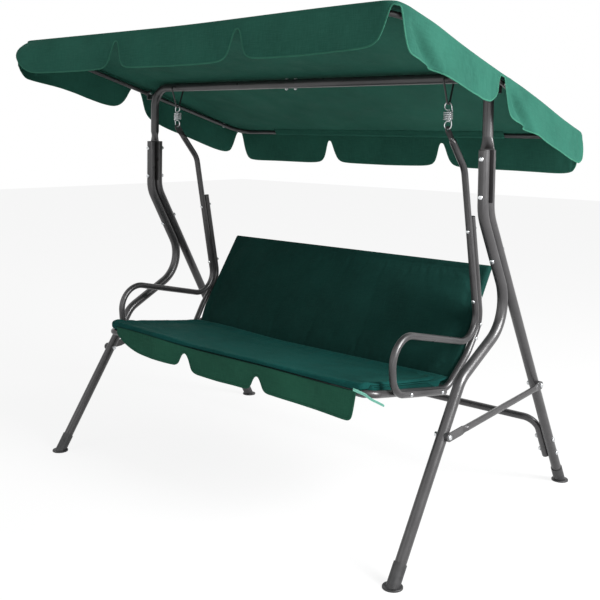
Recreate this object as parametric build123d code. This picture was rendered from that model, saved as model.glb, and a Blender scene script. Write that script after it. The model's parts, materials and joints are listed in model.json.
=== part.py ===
from build123d import *

import os
from math import asin, atan, cos, hypot, radians, sin, sqrt, tan

# Canopy swing bench, millimetres, +Z up, +X to the right seen from the front, front towards -Y.
# The pieces are built about the plane of the top bar (Y = 0) and moved to the origin at the end,
# so that the origin is the bottom centre of the bounding box. Paths are given as (Y, Z) points.

# ---- clearances
TOUCH = 0.2  # between pieces that are clamped or rest on each other
SLIP = 0.3  # between pieces that move on each other
HOLE = 0.3  # radial clearance of a bolt in its hole

# ---- stand: legs and feet
LEG_X = 760.0  # from the middle to each side frame
LEG_OD = 33.0
LEG_WALL = 1.5
LEG_TOP_Z = 1163.0
REAR_FOOT_Y = 569.5
FRONT_FOOT_Y = -451.0
REAR_BEND_Z = 974.0  # where the rear leg leaves the vertical
TOP_BEND_R = 120.0
FRONT_HIP_Z = 645.0  # corner where the front leg turns forward
FRONT_HIP_R = 125.0
FRONT_KNEE_Y = -122.7  # corner where it turns down to the foot
FRONT_KNEE_Z = 497.4
FRONT_KNEE_R = 100.0
FOOT_R = 28.5
FOOT_FLOOR = 5.0
FOOT_WALL = 2.4
FOOT_HEIGHT = 54.0
PLUG_LIP = 2.0
PLUG_DEPTH = 12.0

# ---- stand: top bar with its uprights
BAR_Z = 1380.0
BAR_OD = 32.0
BAR_WALL = 1.5
ELBOW_R = 76.0
FLAT_T = 3.2  # upright end pressed flat
FLAT_W = 46.0
FLAT_LOW_Z = 1007.0
FLAT_ABOVE = 5.0  # the pressed part ends this far above the leg tops
FLAT_TAPER = 36.0
JOINT_X = 20.5  # right half begins here, its neck goes into the left half
NECK_LENGTH = 82.0
JOINT_BOLT_X = (-44.0, -2.0)

# ---- hooks and springs that carry the seat
HANG_X = 622.0  # plane of the springs and hanger arms
SWING_Z = 1308.0  # swing axis, through the top wire of the springs
VEE_ROD = 6.0
VEE_HALF_ANGLE = 19.0
VEE_BEND_R = 8.0
VEE_SHOULDER_R = 7.0
WIRE = 4.2
RING_R = 12.3
COIL_R = 13.3
COIL_PITCH = 4.6
COIL_TURNS = 6
COIL_RING_GAP = 2.94  # from the last turn to the nearest middle of the ring's wire

# ---- seat: hanger arms
ARM_OD = 22.0
ARM_WALL = 1.4
EYE_HOLE_R = 5.0
EYE_T = 3.0
EYE_W = 26.0
EYE_REACH = 24.0
EYE_TAPER = 24.0
ARM_NECK = (104.0, 1101.0)
ARM_NECK_R = 80.0
ARM_ELBOW = (218.5, 523.5)  # back lower corner of the armrest loop
ARM_ELBOW_R = 76.0
ARM_FRONT = (-282.0, 635.0)  # front upper corner of the loop
ARM_FRONT_R = 81.0
ARM_UNDER = (-265.0, 452.0)  # front lower corner of the loop
ARM_UNDER_R = 66.0
ARM_END_Y = 11.0

# ---- seat: side tubes, rails and back frame
SEAT_FALL = 1 / 6  # fall of the seat rails towards the back
SIDE_TOP_Z = 940.0
SLANT = 39.5  # degrees from the vertical of the side tube under the armrest
JOGGLE_Z = 500.0  # here the side tube starts to move inwards
JOGGLE_R = 150.0
RAIL_BEND_R = 60.0
RAIL_JOINT_Y = -160.0
RAIL_NECK = 55.0
FRONT_RAIL_Y = -347.0
FRONT_RAIL_R = 40.0
CROSS_RAIL_Y = 58.0
CROSS_OD = 22.0
BACK_OD = 20.0
BACK_WALL = 1.2
BACK_LEAN = 33.6
BACK_CORNER_R = 45.0
BACK_LOW = 122.0  # along the back, from the crease to the lower tube ends
BACK_HIGH = 400.0  # and to the top rail
SPACER = 7.0

# ---- padding
CREASE = (91.0, 429.0)  # front of the fold between seat and back
SEAT_TOP_FALL = 0.1445
SEAT_SIDE_GAP = 8.6  # between the seat padding and the side rails
SEAT_PAD = 46.0
SEAT_PAD_THIN = 12.0  # over the cross rail
SEAT_PAD_TAPER = 2.0  # the thin part grows by this much to the front and shrinks by it to the rear
SEAT_PAD_STEP = 11.5  # length of the slope between the full and the thin part
BACK_SIDE = 2.0  # padding beyond the back frame at the sides
BACK_PAD = 26.0
BACK_RIM = 14.0  # padding beyond the middle of the top rail
BOLT_POCKET_R = 8.0
CLOTH = 1.6
SKIRT_HALF_W = 545.0
SKIRT_BOTTOM_Z = 380.0
SKIRT_NOTCH_X = 170.0
SKIRT_NOTCH_H = 62.0
SKIRT_NOTCH_R = 30.0
TIE_W = 12.0
TIE_LENGTH = 90.0  # left tie, tucked behind the valance
TIE_X = -490.0  # its outer end
TIE_Z = 444.0
LOOSE_TIE_LENGTH = 118.0  # right tie, outwards from the corner
LOOSE_TIE_FALL = 12.0  # degrees below the level
LOOSE_TIE_Z = 474.0

# ---- braces and stretcher
BRACE_OD = 19.0
BRACE_WALL = 1.2
BRACE_FLAT_T = 3.0
BRACE_FLAT_W = 26.0
BRACE_TAPER = 22.0
BRACE_FRONT_Z = 354.0
BRACE_REAR_Z = 387.0
BRACE_FRONT_FLAT = 70.0
BRACE_REAR_FLAT = 26.0
SADDLE_T = 5.5
SADDLE_R = 13.0
STRETCHER_OD = 24.5
STRETCHER_WALL = 1.4
STRETCHER_Z = 243.0
STRETCHER_END_Z = 99.0
STRETCHER_R = 46.0
STRETCHER_BOLT_Z = (173.0, 120.0)

# ---- canopy
TILT_Z = 1358.5  # tilt axis of the canopy
CANOPY_LEAN = 15.7  # front up, rear down
CANOPY_X = 807.0  # side bars
CANOPY_OD = 16.0
CANOPY_WALL = 1.2
CANOPY_FRONT = 572.0
CANOPY_REAR = 562.0
CANOPY_CORNER_R = 72.0
FRONT_STUB = 440.0  # the front bar ends here, measured back from the tilt axis
REAR_STUB = 430.0
STUB_NECK = 45.0
RIDGE_R = 43.5  # clears the bolt heads on the top bar
OVERHANG = 11.0  # cover beyond the bars
COVER_CORNER_R = 12.0
VALANCE = 124.0
NOTCH_TOP = 33.0
NOTCH_R = 35.0
NOTCH_X = 273.0
BRACKET_T = 3.0
BRACKET_HALF_W = 13.0
BRACKET_Z = 1333.0
WASHER_T = 3.0
WASHER_R = 9.5
SIDE_NOTCH_Y = -42.0  # the side notches are a little in front of the tilt axis
SIDE_NOTCH_DROP = 3.0  # and sit lower than the line of the valance ends

# ---- fasteners: (shank radius, head radius, head height, nut radius, nut height)
M8 = (4.0, 7.5, 4.5, 7.5, 6.5)
M6 = (3.0, 6.0, 3.6, 5.8, 5.0)
M5 = (2.5, 4.6, 2.8, 4.6, 4.0)
LEG_BOLT_DROP = 26.0  # upper bolt below the leg tops
LEG_BOLT_MID_Z = 1024.0
LEG_BOLT_LOW_Z = 833.0
ARM_BOLT_Z = (900.0, 668.0)
SEAT_BOLT_Y = (-187.0, -14.0)
BACK_BOLT_Z = (588.0, 546.0)
HEAD_SEAT = 0.1  # air under a bolt head and behind a nut
HEAD_DOME = 0.8  # rounding of a bolt head, share of its height
THREAD_PLAY = 0.1  # between shank and nut

# ---- finishing of pressed ends, caps and feet
PRESSED_CORNER_R = 3.0
PRESSED_SLIT = 0.6  # what is left of the bore where a tube is pressed flat
ROUNDING = 0.48  # corner radius that makes a thin edge round, share of its thickness
LIP_ROUNDING = 0.7  # share of the lip's height
FLANGE_ROUNDING = 0.4  # share of the flange's height

UP = (Align.CENTER, Align.CENTER, Align.MIN)


# ---------------------------------------------------------------- small helpers
def at(x, point):
    """A (Y, Z) point in the plane X = x."""
    return (x, point[0], point[1])


def along(point, direction, distance):
    """The (Y, Z) point at a distance from another."""
    return (point[0] + direction[0] * distance, point[1] + direction[1] * distance)


def unit(start, end):
    """Unit (Y, Z) direction between two points."""
    length = hypot(end[0] - start[0], end[1] - start[1])
    return ((end[0] - start[0]) / length, (end[1] - start[1]) / length)


def crossing(p, u, q, v):
    """Where the line through p along u meets the line through q along v."""
    side = u[0] * v[1] - u[1] * v[0]
    reach = ((q[0] - p[0]) * v[1] - (q[1] - p[1]) * v[0]) / side
    return along(p, u, reach)


def mirrored(shape):
    """The same piece on the other side."""
    return mirror(shape, about=Plane.YZ)


def rod(points, radii, diameter):
    """A solid round bar along a path of straight runs and arcs."""
    path = FilletPolyline(*points, radius=radii) if radii else Line(*points)
    start = Plane(origin=path @ 0, z_dir=path % 0)
    return sweep(start * Circle(diameter / 2), path=path)


def tube(points, radii, diameter, wall):
    """A round tube along a path of straight runs and arcs."""
    path = FilletPolyline(*points, radius=radii) if radii else Line(*points)
    start = Plane(origin=path @ 0, z_dir=path % 0)
    return sweep(start * (Circle(diameter / 2) - Circle(diameter / 2 - wall)), path=path)


def bar_between(start, end, radius):
    """A plain round bar from point to point."""
    path = Line(start, end)
    return extrude(Plane(origin=start, z_dir=path % 0) * Circle(radius), path.length)


def bolt(spot, size):
    """A domed bolt through its grip with a hexagon nut. A spot is (point under the head, axis, grip)."""
    point, axis, grip = spot
    shank_r, head_r, head_h, nut_r, nut_h = size
    head = Pos(0, 0, -HEAD_SEAT - head_h) * Cylinder(head_r, head_h, align=UP)
    head = fillet(head.edges().sort_by(Axis.Z)[0], head_h * HEAD_DOME)
    shank = Pos(0, 0, -HEAD_SEAT - head_h / 2)
    shank *= Cylinder(shank_r, grip + 2 * HEAD_SEAT + nut_h + head_h / 2 + shank_r / 2, align=UP)
    nut = extrude(RegularPolygon(nut_r, 6), nut_h) - Cylinder(shank_r + THREAD_PLAY, nut_h, align=UP)
    place = Plane(origin=point, z_dir=axis)
    return [place * (head + shank), place * Pos(0, 0, grip + HEAD_SEAT) * nut]


def hole(spot, size):
    """The clearance hole of a bolt."""
    point, axis, grip = spot
    place = Plane(origin=point, z_dir=axis)
    return place * Pos(0, 0, -size[2]) * Cylinder(size[0] + HOLE, grip + 2 * size[2], align=UP)


def drilled(shape, spots, size):
    """A piece with the holes of its bolts."""
    for spot in spots:
        shape = shape - hole(spot, size)
    return shape


def flat_end(diameter, wall, plate, taper, rounded):
    """A tube end pressed flat. Origin at the hole, +Z to the tube, thin along X.
    plate is (thickness, width, end beyond the hole, length from the hole to the taper)."""
    thickness, width, tip, reach = plate
    if rounded:
        outline = Circle(width / 2) + Pos(0, reach / 2) * Rectangle(width, reach)
    else:
        outline = Pos(0, (reach - tip) / 2) * RectangleRounded(width, reach + tip, PRESSED_CORNER_R)
        outline += Pos(0, reach / 2) * Rectangle(width, reach)
    sheet = extrude(Plane.YZ * outline, thickness / 2, both=True)
    pressed = Plane.XY.offset(reach) * RectangleRounded(thickness, width, thickness * ROUNDING)
    round_end = Plane.XY.offset(reach + taper) * Circle(diameter / 2)
    body = loft([pressed.face(), round_end.face()])
    slit = Plane.XY.offset(reach + wall)
    slit *= RectangleRounded(PRESSED_SLIT, width - 3 * wall, PRESSED_SLIT * ROUNDING)
    bore = Plane.XY.offset(reach + taper) * Circle(diameter / 2 - wall)
    return sheet + (body - loft([slit.face(), bore.face()]))


def end_cap(point, outward, diameter, wall):
    """A plastic plug in an open tube end: a lip over the end and a stub in the bore."""
    place = Plane(origin=point, z_dir=outward)
    lip = Pos(0, 0, TOUCH) * Cylinder(diameter / 2, PLUG_LIP, align=UP)
    lip = fillet(lip.edges().sort_by(Axis.Z)[-1], PLUG_LIP * LIP_ROUNDING)
    stub = Pos(0, 0, -PLUG_DEPTH) * Cylinder(diameter / 2 - wall - TOUCH, PLUG_DEPTH + TOUCH, align=UP)
    return place * (lip + stub)


# ---------------------------------------------------------------- stand
LEG_BOLT_Z = (LEG_TOP_Z - LEG_BOLT_DROP, LEG_BOLT_MID_Z)
FLAT_HIGH_Z = LEG_TOP_Z + FLAT_ABOVE
LEG_Y = FLAT_T / 2 + LEG_OD / 2 + TOUCH / 2  # leg middles either side of the pressed upright
REAR_SLOPE = (REAR_FOOT_Y - LEG_Y) / REAR_BEND_Z
LEG_LEAN = atan(REAR_SLOPE)
LEG_ACROSS = (cos(LEG_LEAN), sin(LEG_LEAN))  # square to the leaning legs, towards the rear
LEG_STEP = (LEG_OD + 2 * TOUCH) / cos(LEG_LEAN)  # level distance between the leaning legs
FRONT_KNEE = (FRONT_KNEE_Y, FRONT_KNEE_Z)
KNEE_TO_FOOT = unit(FRONT_KNEE, (FRONT_FOOT_Y, 0))


def rear_leg_y(z):
    """Middle of the leaning part of the rear leg at a height."""
    return REAR_FOOT_Y - REAR_SLOPE * z


def front_leg_y(z):
    """Middle of the lowest part of the front leg at a height."""
    return FRONT_FOOT_Y - KNEE_TO_FOOT[0] / KNEE_TO_FOOT[1] * -z


def front_leg_path():
    bend_z = REAR_BEND_Z - (LEG_STEP - 2 * LEG_Y) / REAR_SLOPE
    hip = (rear_leg_y(FRONT_HIP_Z) - LEG_STEP, FRONT_HIP_Z)
    foot = along((FRONT_FOOT_Y, 0), KNEE_TO_FOOT, FOOT_R)
    return [(-LEG_Y, LEG_TOP_Z), (-LEG_Y, bend_z), hip, FRONT_KNEE, foot]


def rear_leg_path():
    foot = along((REAR_FOOT_Y, 0), unit((LEG_Y, REAR_BEND_Z), (REAR_FOOT_Y, 0)), FOOT_R)
    return [(LEG_Y, LEG_TOP_Z), (LEG_Y, REAR_BEND_Z), foot]


def below(z):
    """Everything under a level, to cut with."""
    size = 4 * LEG_X
    return Pos(0, 0, z) * Box(size, size, size, align=(Align.CENTER, Align.CENTER, Align.MAX))


def leg_bolt_spots():
    """The three bolts that clamp the legs of one side to the upright."""
    spots = []
    for z in LEG_BOLT_Z:
        spots.append(((LEG_X, -LEG_Y - LEG_OD / 2, z), (0, 1, 0), 2 * LEG_Y + LEG_OD))
    middle = (rear_leg_y(LEG_BOLT_LOW_Z) - LEG_STEP, LEG_BOLT_LOW_Z)
    head = along(middle, LEG_ACROSS, -LEG_OD / 2)
    spots.append((at(LEG_X, head), at(0, LEG_ACROSS), 2 * LEG_OD + 2 * TOUCH))
    return spots


def brace_ends():
    """Where the brace bolts cross the middles of the front and the rear leg."""
    return (front_leg_y(BRACE_FRONT_Z), BRACE_FRONT_Z), (rear_leg_y(BRACE_REAR_Z), BRACE_REAR_Z)


BRACE_X = LEG_X + LEG_OD / 2 + SADDLE_T + BRACE_FLAT_T / 2 + TOUCH


def brace_bolt_spots():
    outside = BRACE_X + BRACE_FLAT_T / 2
    grip = outside - (LEG_X - LEG_OD / 2)
    return [(at(outside, end), (-1, 0, 0), grip) for end in brace_ends()]


STRETCHER_X = LEG_X - LEG_OD / 2 - STRETCHER_OD / 2 - TOUCH


def stretcher_bolt_spots():
    spots = []
    for z in STRETCHER_BOLT_Z:
        head = (LEG_X + LEG_OD / 2, rear_leg_y(z), z)
        spots.append((head, (-1, 0, 0), LEG_OD + STRETCHER_OD + TOUCH))
    return spots


def front_leg():
    radii = [TOP_BEND_R, FRONT_HIP_R, FRONT_KNEE_R]
    leg = tube([at(LEG_X, p) for p in front_leg_path()], radii, LEG_OD, LEG_WALL)
    leg = leg - below(FOOT_FLOOR + TOUCH)
    leg = drilled(leg, leg_bolt_spots(), M8)
    return drilled(leg, brace_bolt_spots()[:1], M8)


def rear_leg():
    leg = tube([at(LEG_X, p) for p in rear_leg_path()], [TOP_BEND_R], LEG_OD, LEG_WALL)
    leg = leg - below(FOOT_FLOOR + TOUCH)
    leg = drilled(leg, leg_bolt_spots(), M8)
    leg = drilled(leg, brace_bolt_spots()[1:], M8)
    return drilled(leg, stretcher_bolt_spots(), M8)


def foot(axis_y, upward):
    """A plastic foot: a round flange on the ground and a sleeve that follows the leg."""
    base = (LEG_X, axis_y, 0)
    flange = Pos(*base) * Cylinder(FOOT_R, FOOT_FLOOR, align=UP)
    flange = fillet(flange.edges().sort_by(Axis.Z)[-1], FOOT_FLOOR * FLANGE_ROUNDING)
    start = along((axis_y, 0), upward, -FOOT_R)
    end = along((axis_y, 0), upward, FOOT_HEIGHT / upward[1])
    bore_r = LEG_OD / 2 + TOUCH
    sleeve = bar_between(at(LEG_X, start), at(LEG_X, end), bore_r + FOOT_WALL) - below(0)
    bore = bar_between(at(LEG_X, start), at(LEG_X, along(end, upward, FOOT_R)), bore_r)
    return flange + sleeve - (bore - below(FOOT_FLOOR))


def leg_top_caps():
    caps = []
    for y in (-LEG_Y, LEG_Y):
        cap = end_cap((LEG_X, y, LEG_TOP_Z), (0, 0, 1), LEG_OD, LEG_WALL)
        caps += [cap, mirrored(cap)]
    return caps


def upright_path():
    return [(JOINT_X, 0, BAR_Z), (LEG_X, 0, BAR_Z), (LEG_X, 0, FLAT_HIGH_Z + FLAT_TAPER)]


def upright_flat():
    """The pressed lower end of an upright, with its origin at the lower bolt."""
    low = LEG_BOLT_Z[1]
    plate = (FLAT_T, FLAT_W, low - FLAT_LOW_Z, FLAT_HIGH_Z - low)
    end = flat_end(BAR_OD, BAR_WALL, plate, FLAT_TAPER, False)
    end = Plane(origin=(LEG_X, 0, low), z_dir=(0, 0, 1), x_dir=(0, 1, 0)) * end
    return drilled(end, leg_bolt_spots()[:2], M8)


def joint_bolt_spots():
    return [((x, 0, BAR_Z + BAR_OD / 2), (0, 0, -1), BAR_OD) for x in JOINT_BOLT_X]


def top_bar_right():
    """Right half of the top bar. Its neck goes into the left half."""
    half = tube(upright_path(), [ELBOW_R], BAR_OD, BAR_WALL) + upright_flat()
    neck_r = BAR_OD / 2 - BAR_WALL - TOUCH
    shoulder = BAR_WALL * 2
    neck = bar_between((JOINT_X - NECK_LENGTH, 0, BAR_Z), (JOINT_X + shoulder, 0, BAR_Z), neck_r)
    step = bar_between((JOINT_X, 0, BAR_Z), (JOINT_X + shoulder, 0, BAR_Z), BAR_OD / 2 - BAR_WALL)
    bore = bar_between(
        (JOINT_X - NECK_LENGTH, 0, BAR_Z), (JOINT_X + shoulder, 0, BAR_Z), neck_r - BAR_WALL
    )
    return drilled(half + (neck + step - bore), joint_bolt_spots(), M6)


def top_bar_left():
    """Left half of the top bar, drawn on the right and mirrored, with its open end at the joint."""
    path = upright_path()
    path[0] = (TOUCH - JOINT_X, 0, BAR_Z)
    half = mirrored(tube(path, [ELBOW_R], BAR_OD, BAR_WALL) + upright_flat())
    return drilled(half, joint_bolt_spots(), M6)


def upright_solid():
    """The outer shape of the right half of the bar, to cut what is welded on it."""
    return rod(upright_path(), [ELBOW_R], BAR_OD)


VEE_Z = SWING_Z - VEE_ROD / 2 - WIRE / 2 - SLIP  # middle of the hook's lowest point


def hanger_vee():
    """A rod bent to a V and welded to the front and the back of the bar."""
    half = radians(VEE_HALF_ANGLE)
    corner_z = VEE_Z - VEE_BEND_R * (1 / sin(half) - 1)
    reach = (BAR_Z - corner_z) * tan(half)
    weld = BAR_OD / 2 - BAR_WALL
    path = [(-weld, BAR_Z), (-reach, BAR_Z), (0, corner_z), (reach, BAR_Z), (weld, BAR_Z)]
    hook = rod([at(HANG_X, p) for p in path], [VEE_SHOULDER_R, VEE_BEND_R, VEE_SHOULDER_R], VEE_ROD)
    bar = bar_between((HANG_X - BAR_OD, 0, BAR_Z), (HANG_X + BAR_OD, 0, BAR_Z), BAR_OD / 2)
    return hook - bar


def side_brace():
    """A tube with flattened ends outside the legs, from the front leg to the rear leg."""
    front, rear = brace_ends()
    direction = unit(front, rear)
    length = hypot(rear[0] - front[0], rear[1] - front[1])
    plate = [BRACE_FLAT_T, BRACE_FLAT_W, 0, BRACE_FRONT_FLAT]
    near = flat_end(BRACE_OD, BRACE_WALL, plate, BRACE_TAPER, True)
    plate[3] = BRACE_REAR_FLAT
    far = flat_end(BRACE_OD, BRACE_WALL, plate, BRACE_TAPER, True)
    start = along(front, direction, BRACE_FRONT_FLAT + BRACE_TAPER)
    end = along(front, direction, length - BRACE_REAR_FLAT - BRACE_TAPER)
    middle = tube([at(BRACE_X, start), at(BRACE_X, end)], None, BRACE_OD, BRACE_WALL)
    near = Plane(origin=at(BRACE_X, front), z_dir=at(0, direction), x_dir=(1, 0, 0)) * near
    back = (-direction[0], -direction[1])
    far = Plane(origin=at(BRACE_X, rear), z_dir=at(0, back), x_dir=(1, 0, 0)) * far
    return drilled(near + middle + far, brace_bolt_spots(), M8)


def brace_saddles():
    """Washers with one face hollowed to the leg, under both ends of the braces."""
    saddles = []
    face = BRACE_X - BRACE_FLAT_T / 2 - TOUCH / 2
    for end, path in zip(brace_ends(), (front_leg_path()[-2:], rear_leg_path()[-2:])):
        block = bar_between(at(LEG_X + LEG_OD / 4, end), at(face, end), SADDLE_R)
        leg = bar_between(at(LEG_X, path[0]), at(LEG_X, path[1]), LEG_OD / 2 + TOUCH / 2)
        saddle = drilled(block - leg, brace_bolt_spots(), M8)
        saddles += [saddle, mirrored(saddle)]
    return saddles


def rear_stretcher():
    """A tube between the rear legs with its ends bent down along them."""
    corners = [
        (STRETCHER_X, rear_leg_y(STRETCHER_END_Z), STRETCHER_END_Z),
        (STRETCHER_X, rear_leg_y(STRETCHER_Z), STRETCHER_Z),
    ]
    corners += [(-x, y, z) for x, y, z in reversed(corners)]
    bar = tube(corners, [STRETCHER_R, STRETCHER_R], STRETCHER_OD, STRETCHER_WALL)
    bar = drilled(bar, stretcher_bolt_spots(), M8)
    return bar - Compound([mirrored(hole(spot, M8)) for spot in stretcher_bolt_spots()])


def canopy_bracket():
    """A steel angle welded to the outside of the elbow, with the pivot hole in its upright lug."""
    lug_x = CANOPY_X - CANOPY_OD / 2 - WASHER_T - 3 * TOUCH - BRACKET_T
    elbow_z = BRACKET_Z - (BAR_Z - ELBOW_R)
    elbow_x = LEG_X - ELBOW_R + sqrt(ELBOW_R**2 - elbow_z**2)
    low = Box(
        lug_x - elbow_x,
        2 * BRACKET_HALF_W,
        BRACKET_T,
        align=(Align.MAX, Align.CENTER, Align.MIN),
    )
    lug = Circle(BRACKET_HALF_W)
    lug += Rectangle(2 * BRACKET_HALF_W, TILT_Z - BRACKET_Z, align=(Align.CENTER, Align.MAX))
    lug = Plane(origin=(lug_x, 0, TILT_Z), x_dir=(0, 1, 0), z_dir=(1, 0, 0)) * lug
    bracket = Pos(lug_x, 0, BRACKET_Z) * low + extrude(lug, BRACKET_T)
    return drilled(bracket - upright_solid(), pivot_spots(), M8)


# ---------------------------------------------------------------- springs
UPPER_RING_Z = SWING_Z - RING_R
COIL_TOP_Z = UPPER_RING_Z - RING_R - COIL_RING_GAP
COIL_LOW_Z = COIL_TOP_Z - COIL_PITCH * COIL_TURNS
LOWER_RING_Z = COIL_LOW_Z - COIL_RING_GAP - RING_R
EYE_Z = LOWER_RING_Z - RING_R + WIRE / 2 + SLIP - EYE_HOLE_R  # middle of the hole in the arm's eye


def spring():
    """A closed coil with a ring at both ends, drawn as two equal halves that meet in the middle."""
    half_height = (COIL_TOP_Z - COIL_LOW_Z) / 2
    coil = Helix(pitch=COIL_PITCH, height=half_height, radius=COIL_R)
    wire = sweep(Plane(origin=coil @ 0, z_dir=coil % 0) * Circle(WIRE / 2), path=coil)
    ring_z = half_height + UPPER_RING_Z - COIL_TOP_Z
    ring = Plane(origin=(0, 0, ring_z), z_dir=(0, 1, 0)) * Torus(RING_R, WIRE / 2)
    link = bar_between((COIL_R, 0, half_height), (RING_R, 0, ring_z), WIRE / 2)
    end = ring + link + Pos(COIL_R, 0, half_height) * Sphere(WIRE / 2)
    half = wire + end
    return Pos(HANG_X, 0, COIL_LOW_Z + half_height) * (half + Rot(180, 0, 0) * half)


# ---------------------------------------------------------------- seat frame
EYE = (0.0, EYE_Z)
ARM_DOWN = unit(ARM_NECK, ARM_ELBOW)
ARM_BEHIND = (-ARM_DOWN[1], ARM_DOWN[0])  # square to the arm's long run, towards the rear
PAIR = ARM_OD + 2 * TOUCH  # middle distance of hanger arm and side tube
RAIL_X = HANG_X - PAIR
RAIL_FORWARD = unit((0, 0), (-1, SEAT_FALL))
BACK_UP = (sin(radians(BACK_LEAN)), cos(radians(BACK_LEAN)))
BACK_FACE = (-cos(radians(BACK_LEAN)), sin(radians(BACK_LEAN)))  # out of the front of the back
BACK_X = HANG_X - ARM_OD / 2 - SPACER - 2 * TOUCH - BACK_OD / 2
BACK_HALF_W = BACK_X + BACK_OD / 2 + BACK_SIDE
SEAT_HALF_W = RAIL_X - ARM_OD / 2 - SEAT_SIDE_GAP


def rail_z(y):
    """Middle height of the seat rails."""
    return ARM_UNDER[1] - SEAT_FALL * (y - ARM_UNDER[0])


def back_point(up, behind):
    """A (Y, Z) point up the back from the crease and behind its front face."""
    return along(along(CREASE, BACK_UP, up), BACK_FACE, -behind)


def arm_path():
    start = along(EYE, unit(EYE, ARM_NECK), EYE_REACH + EYE_TAPER)
    return [start, ARM_NECK, ARM_ELBOW, ARM_FRONT, ARM_UNDER, (ARM_END_Y, rail_z(ARM_END_Y))]


def arm_at(z):
    """Middle of the arm's long run at a height."""
    return crossing(ARM_NECK, ARM_DOWN, (0, z), (1, 0))


def side_path():
    """Side tube: behind the arm, round its elbow, down to the seat and forward as the rail."""
    top = along(arm_at(SIDE_TOP_Z), ARM_BEHIND, PAIR)
    arm_out = unit(ARM_ELBOW, ARM_FRONT)
    turn = asin(arm_out[0] * ARM_DOWN[1] - arm_out[1] * ARM_DOWN[0])
    tangent = ARM_ELBOW_R * tan((radians(180) - abs(turn)) / 2)
    centre = along(along(ARM_ELBOW, ARM_DOWN, -tangent), ARM_BEHIND, -ARM_ELBOW_R)
    slant = (-sin(radians(SLANT)), -cos(radians(SLANT)))
    slant_behind = (-slant[1], slant[0])
    level = along(centre, slant_behind, ARM_ELBOW_R + PAIR)
    elbow = crossing(top, ARM_DOWN, level, slant)
    joggle = crossing(elbow, slant, (0, JOGGLE_Z), (1, 0))
    seat = crossing(elbow, slant, (0, rail_z(0)), RAIL_FORWARD)
    return [at(HANG_X, top), at(HANG_X, elbow), at(HANG_X, joggle), at(RAIL_X, seat)]


def side_radii():
    return [ARM_ELBOW_R + PAIR, JOGGLE_R, RAIL_BEND_R]


def arm_bolt_spots():
    """Bolts through the long runs of arm and side tube."""
    spots = []
    for z in ARM_BOLT_Z:
        head = along(arm_at(z), ARM_BEHIND, -ARM_OD / 2)
        spots.append((at(HANG_X, head), at(0, ARM_BEHIND), PAIR + ARM_OD))
    return spots


def seat_bolt_spots():
    """Bolts through the lower run of the arm and the seat rail beside it."""
    outside = HANG_X + ARM_OD / 2
    return [((outside, y, rail_z(y)), (-1, 0, 0), PAIR + ARM_OD) for y in SEAT_BOLT_Y]


def side_middle_y(z):
    """Middle of the side tube on its slanted run or in the bend above it."""
    top, elbow, joggle, seat = [(p[1], p[2]) for p in side_path()]
    slant = crossing(elbow, unit(elbow, joggle), (0, z), (1, 0))[0]
    half = (radians(SLANT) + atan(-ARM_DOWN[0] / ARM_DOWN[1])) / 2
    radius = ARM_ELBOW_R + PAIR
    start = along(elbow, ARM_DOWN, -radius * tan(half))
    end = along(elbow, unit(elbow, joggle), radius * tan(half))
    centre_y, centre_z = along(start, ARM_BEHIND, -radius)
    if z < end[1]:
        return slant
    return centre_y + sqrt(radius**2 - (z - centre_z) ** 2)


def back_bolt_spots():
    """Bolts through side tube, spacer and back frame, at the mean of the two tube middles."""
    spots = []
    outside = HANG_X + ARM_OD / 2
    for z in BACK_BOLT_Z:
        frame_y = crossing(back_point(0, BACK_PAD / 2), BACK_UP, (0, z), (1, 0))[0]
        y = (side_middle_y(z) + frame_y) / 2
        spots.append(((outside, y, z), (-1, 0, 0), outside - (BACK_X - BACK_OD / 2)))
    return spots


def hanger_arm():
    neck = unit(EYE, ARM_NECK)
    arm = tube(
        [at(HANG_X, p) for p in arm_path()],
        [ARM_NECK_R, ARM_ELBOW_R, ARM_FRONT_R, ARM_UNDER_R],
        ARM_OD,
        ARM_WALL,
    )
    eye = flat_end(ARM_OD, ARM_WALL, (EYE_T, EYE_W, 0, EYE_REACH), EYE_TAPER, True)
    eye = eye - Rot(0, 90, 0) * Cylinder(EYE_HOLE_R, 2 * EYE_T)
    arm += Plane(origin=at(HANG_X, EYE), z_dir=at(0, neck), x_dir=(1, 0, 0)) * eye
    arm = drilled(arm, arm_bolt_spots(), M6)
    return drilled(arm, seat_bolt_spots(), M6)


def side_tube():
    """Side tube with the neck that goes into the front rail."""
    joint = (RAIL_X, RAIL_JOINT_Y, rail_z(RAIL_JOINT_Y))
    body = tube([*side_path(), joint], side_radii(), ARM_OD, ARM_WALL)
    far = (RAIL_X, RAIL_JOINT_Y - RAIL_NECK, rail_z(RAIL_JOINT_Y - RAIL_NECK))
    shoulder = (RAIL_X, RAIL_JOINT_Y + 2 * ARM_WALL, rail_z(RAIL_JOINT_Y + 2 * ARM_WALL))
    neck_r = ARM_OD / 2 - ARM_WALL - TOUCH
    body += bar_between(shoulder, joint, ARM_OD / 2 - ARM_WALL)
    body += bar_between(joint, far, neck_r)
    body -= bar_between(shoulder, far, neck_r - ARM_WALL)
    for spots in (arm_bolt_spots(), seat_bolt_spots(), back_bolt_spots()):
        body = drilled(body, spots, M6)
    return body


def side_tube_solid(diameter):
    """The right side tube as a solid bar, to cut what meets it."""
    end = (RAIL_X, RAIL_JOINT_Y, rail_z(RAIL_JOINT_Y))
    return rod([*side_path(), end], side_radii(), diameter)


def arm_end_caps():
    y, z = ARM_END_Y, rail_z(ARM_END_Y)
    cap = end_cap((HANG_X, y, z), (0, -RAIL_FORWARD[0], -RAIL_FORWARD[1]), ARM_OD, ARM_WALL)
    return [cap, mirrored(cap)]


def side_tube_caps():
    upward = (0, -ARM_DOWN[0], -ARM_DOWN[1])
    cap = end_cap(side_path()[0], upward, ARM_OD, ARM_WALL)
    return [cap, mirrored(cap)]


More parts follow.
